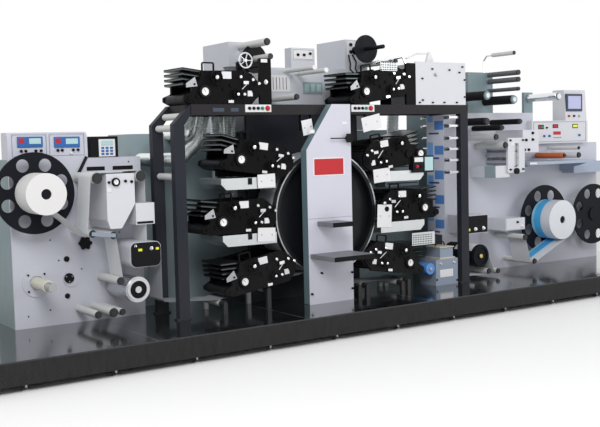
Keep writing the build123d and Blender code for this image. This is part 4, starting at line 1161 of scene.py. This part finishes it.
consoleKnobs = {
    "boxBlack": [(x, z, -0.25, 0.014) for x, z in ((1.888, 1.519), (1.981, 1.522), (1.981, 1.587),
                                                   (1.863, 1.423), (1.923, 1.423))]
    + [(x, z, -0.275, 0.01) for x, z in ((1.64, 1.52), (1.815, 1.52), (1.64, 1.235), (1.815, 1.235))]
    + [(2.95, 1.762, 0.052, 0.012), (1.859, 0.701, -0.154, 0.012), (2.52, 1.64, 0.05, 0.01)],
    "redPaint": [(2.87, 1.762, 0.052, 0.012)],
    "zincSteel": [(3.03, 1.762, 0.052, 0.012)],
    "blueKeys": [(2.481, 1.554, 0.05, 0.013), (3.031, 1.556, 0.05, 0.013), (2.56, 1.554, 0.05, 0.013)],
    "dialFace": [(1.28, 0.671, -0.154, 0.018)],
    "chrome": [(1.387, 0.673, -0.154, 0.018), (1.925, 0.655, -0.154, 0.012)],
}
fitAll("rewinder", consoleBlocks, consoleKnobs, towerSleeves,
       more={"chrome": [rodAlong(topRollerArm, 0.008)]})
fitAll("outfeedDrumCentre", discs=drumCentre, body="outfeed_drum")
print("rewinder fittings made")


# Rear: raised doors with handles, hinges and louvres; seams across the deck

rearValues = {
    "doors": ((-3.15, -2.1, 0.554, 0.21, 1.47, 2), (-2.03, 1.0, 0.904, 0.21, 1.65, 4),
              (1.03, 2.38, 0.554, 0.21, 1.8, 2), (2.38, 3.39, 0.554, 0.21, 1.476, 2)),
    "margin": 0.02, "rise": 0.005, "louvres": 7, "louvrePitch": 0.028, "louvreHalf": 0.12, "louvreHigh": 0.01,
    "handle": (0.03, 0.052, 0.07), "hinge": (-0.012, 0.006, 0.03), "fromEnds": 0.16, "seat": 0.003,
    "handleRise": 0.024, "hingeRise": 0.013, "louvreRise": 0.011, "leafSeat": 0.004, "leafEdge": 0.003,
    "handleEdge": 0.004, "seams": (-2.5, -1.25, 0.0, 1.25, 2.5), "seamHalf": 0.0015,
    "seamLength": (-0.948, 0.948), "seamHeight": (0.2085, 0.2104),
}


def makeRear(values):
    margin, half, inset = values["margin"], values["louvreHalf"], values["fromEnds"]
    near, far, reach = values["handle"]
    hingeNear, hingeFar, hingeHalf = values["hinge"]
    seat = values["seat"]
    doors, handles, louvres = [], [], []
    for left, right, back, bottom, top, count in values["doors"]:
        width = (right - left) / count
        for i in range(count):
            start, end = left + i * width + margin / 2, left + (i + 1) * width - margin / 2
            doors.append((start, end, back - values["leafSeat"], back + values["rise"], bottom + margin,
                          top - margin, values["leafEdge"]))
            middle, centre = (bottom + top) / 2, (start + end) / 2
            handles.append((start + near, start + far, back + seat, back + values["handleRise"],
                            middle - reach, middle + reach, values["handleEdge"]))
            for z in (bottom + inset, top - inset):
                handles.append((end + hingeNear, end + hingeFar, back + seat, back + values["hingeRise"],
                                z - hingeHalf, z + hingeHalf))
            for row in range(values["louvres"]):
                z = bottom + inset + row * values["louvrePitch"]
                louvres.append((centre - half, centre + half, back + seat, back + values["louvreRise"], z,
                                z + values["louvreHigh"]))
    width = values["seamHalf"]
    seams = [(x - width, x + width, *values["seamLength"], *values["seamHeight"], 0) for x in values["seams"]]
    fitAll("rear", {"tealDoor": doors + louvres, "boxBlack": handles})
    fitAll("deckSeams", {"zincSteel": seams})


makeRear(rearValues)
print("rear doors and deck seams made")


# Camera, floor and light

cameraValues = {"place": (-5.368, -6.994, 1.55), "yaw": 33.95, "pitch": 4.19, "roll": -1.364,
                "focalPixels": 972.3, "pictureWidth": 600, "sensor": 36}


def makeCamera(values):
    data = bpy.data.cameras.new("photoView")
    data.sensor_width = values["sensor"]
    data.lens = values["focalPixels"] / values["pictureWidth"] * values["sensor"]
    data.clip_end = 60
    camera = bpy.data.objects.new("photoView", data)
    bpy.context.scene.collection.objects.link(camera)
    aim = Euler((math.radians(90 - values["pitch"]), 0, math.radians(-values["yaw"]))).to_matrix()
    turned = aim @ Matrix.Rotation(math.radians(values["roll"]), 3, "Z")
    camera.matrix_world = Matrix.Translation(values["place"]) @ turned.to_4x4()
    bpy.context.scene.camera = camera


studioValues = {"worldLight": 0.62, "floorSize": 60,
                "lamps": (("key", (-5.5, -7.5, 6.5), (0, 0, 1), 4, 520),
                          ("fill", (6, -7, 4.5), (1, 0, 1), 5, 200))}


def makeLight(name, place, target, size, power):
    data = bpy.data.lights.new(name, "AREA")
    data.size = size
    data.energy = power
    lamp = bpy.data.objects.new(name, data)
    lamp.location = place
    lamp.rotation_euler = (Vector(target) - Vector(place)).to_track_quat("-Z", "Y").to_euler()
    bpy.context.scene.collection.objects.link(lamp)


def makeStudio(values):
    world = bpy.data.worlds.new("studio")
    bpy.context.scene.world = world
    world.use_nodes = True
    tree = world.node_tree
    background = tree.nodes["Background"]
    background.inputs["Color"].default_value = (1, 1, 1, 1)
    path = tree.nodes.new("ShaderNodeLightPath")
    seen = mathNode(tree, "MAXIMUM", path.outputs["Is Camera Ray"],
                    mathNode(tree, "MAXIMUM", path.outputs["Is Glossy Ray"],
                             path.outputs["Is Transmission Ray"]))
    tree.links.new(mapRange(tree, seen, 0, 1, values["worldLight"], 1), background.inputs["Strength"])
    for lamp in values["lamps"]:
        makeLight(*lamp)
    deselectAll()
    bpy.ops.mesh.primitive_plane_add(size=values["floorSize"], location=(0, 0, 0))
    floor = settle(bpy.context.object, "studioFloor")
    material, tree, shader = startMaterial("studioFloor")
    shader.inputs["Base Color"].default_value = (0.93, 0.93, 0.93, 1)
    shader.inputs["Roughness"].default_value = 0.8
    shader.inputs["Specular IOR Level"].default_value = 0.2
    floor.data.materials.append(material)


makeCamera(cameraValues)
makeStudio(studioValues)
bpy.context.scene.view_settings.view_transform = "Standard"
print("camera, floor and light made")
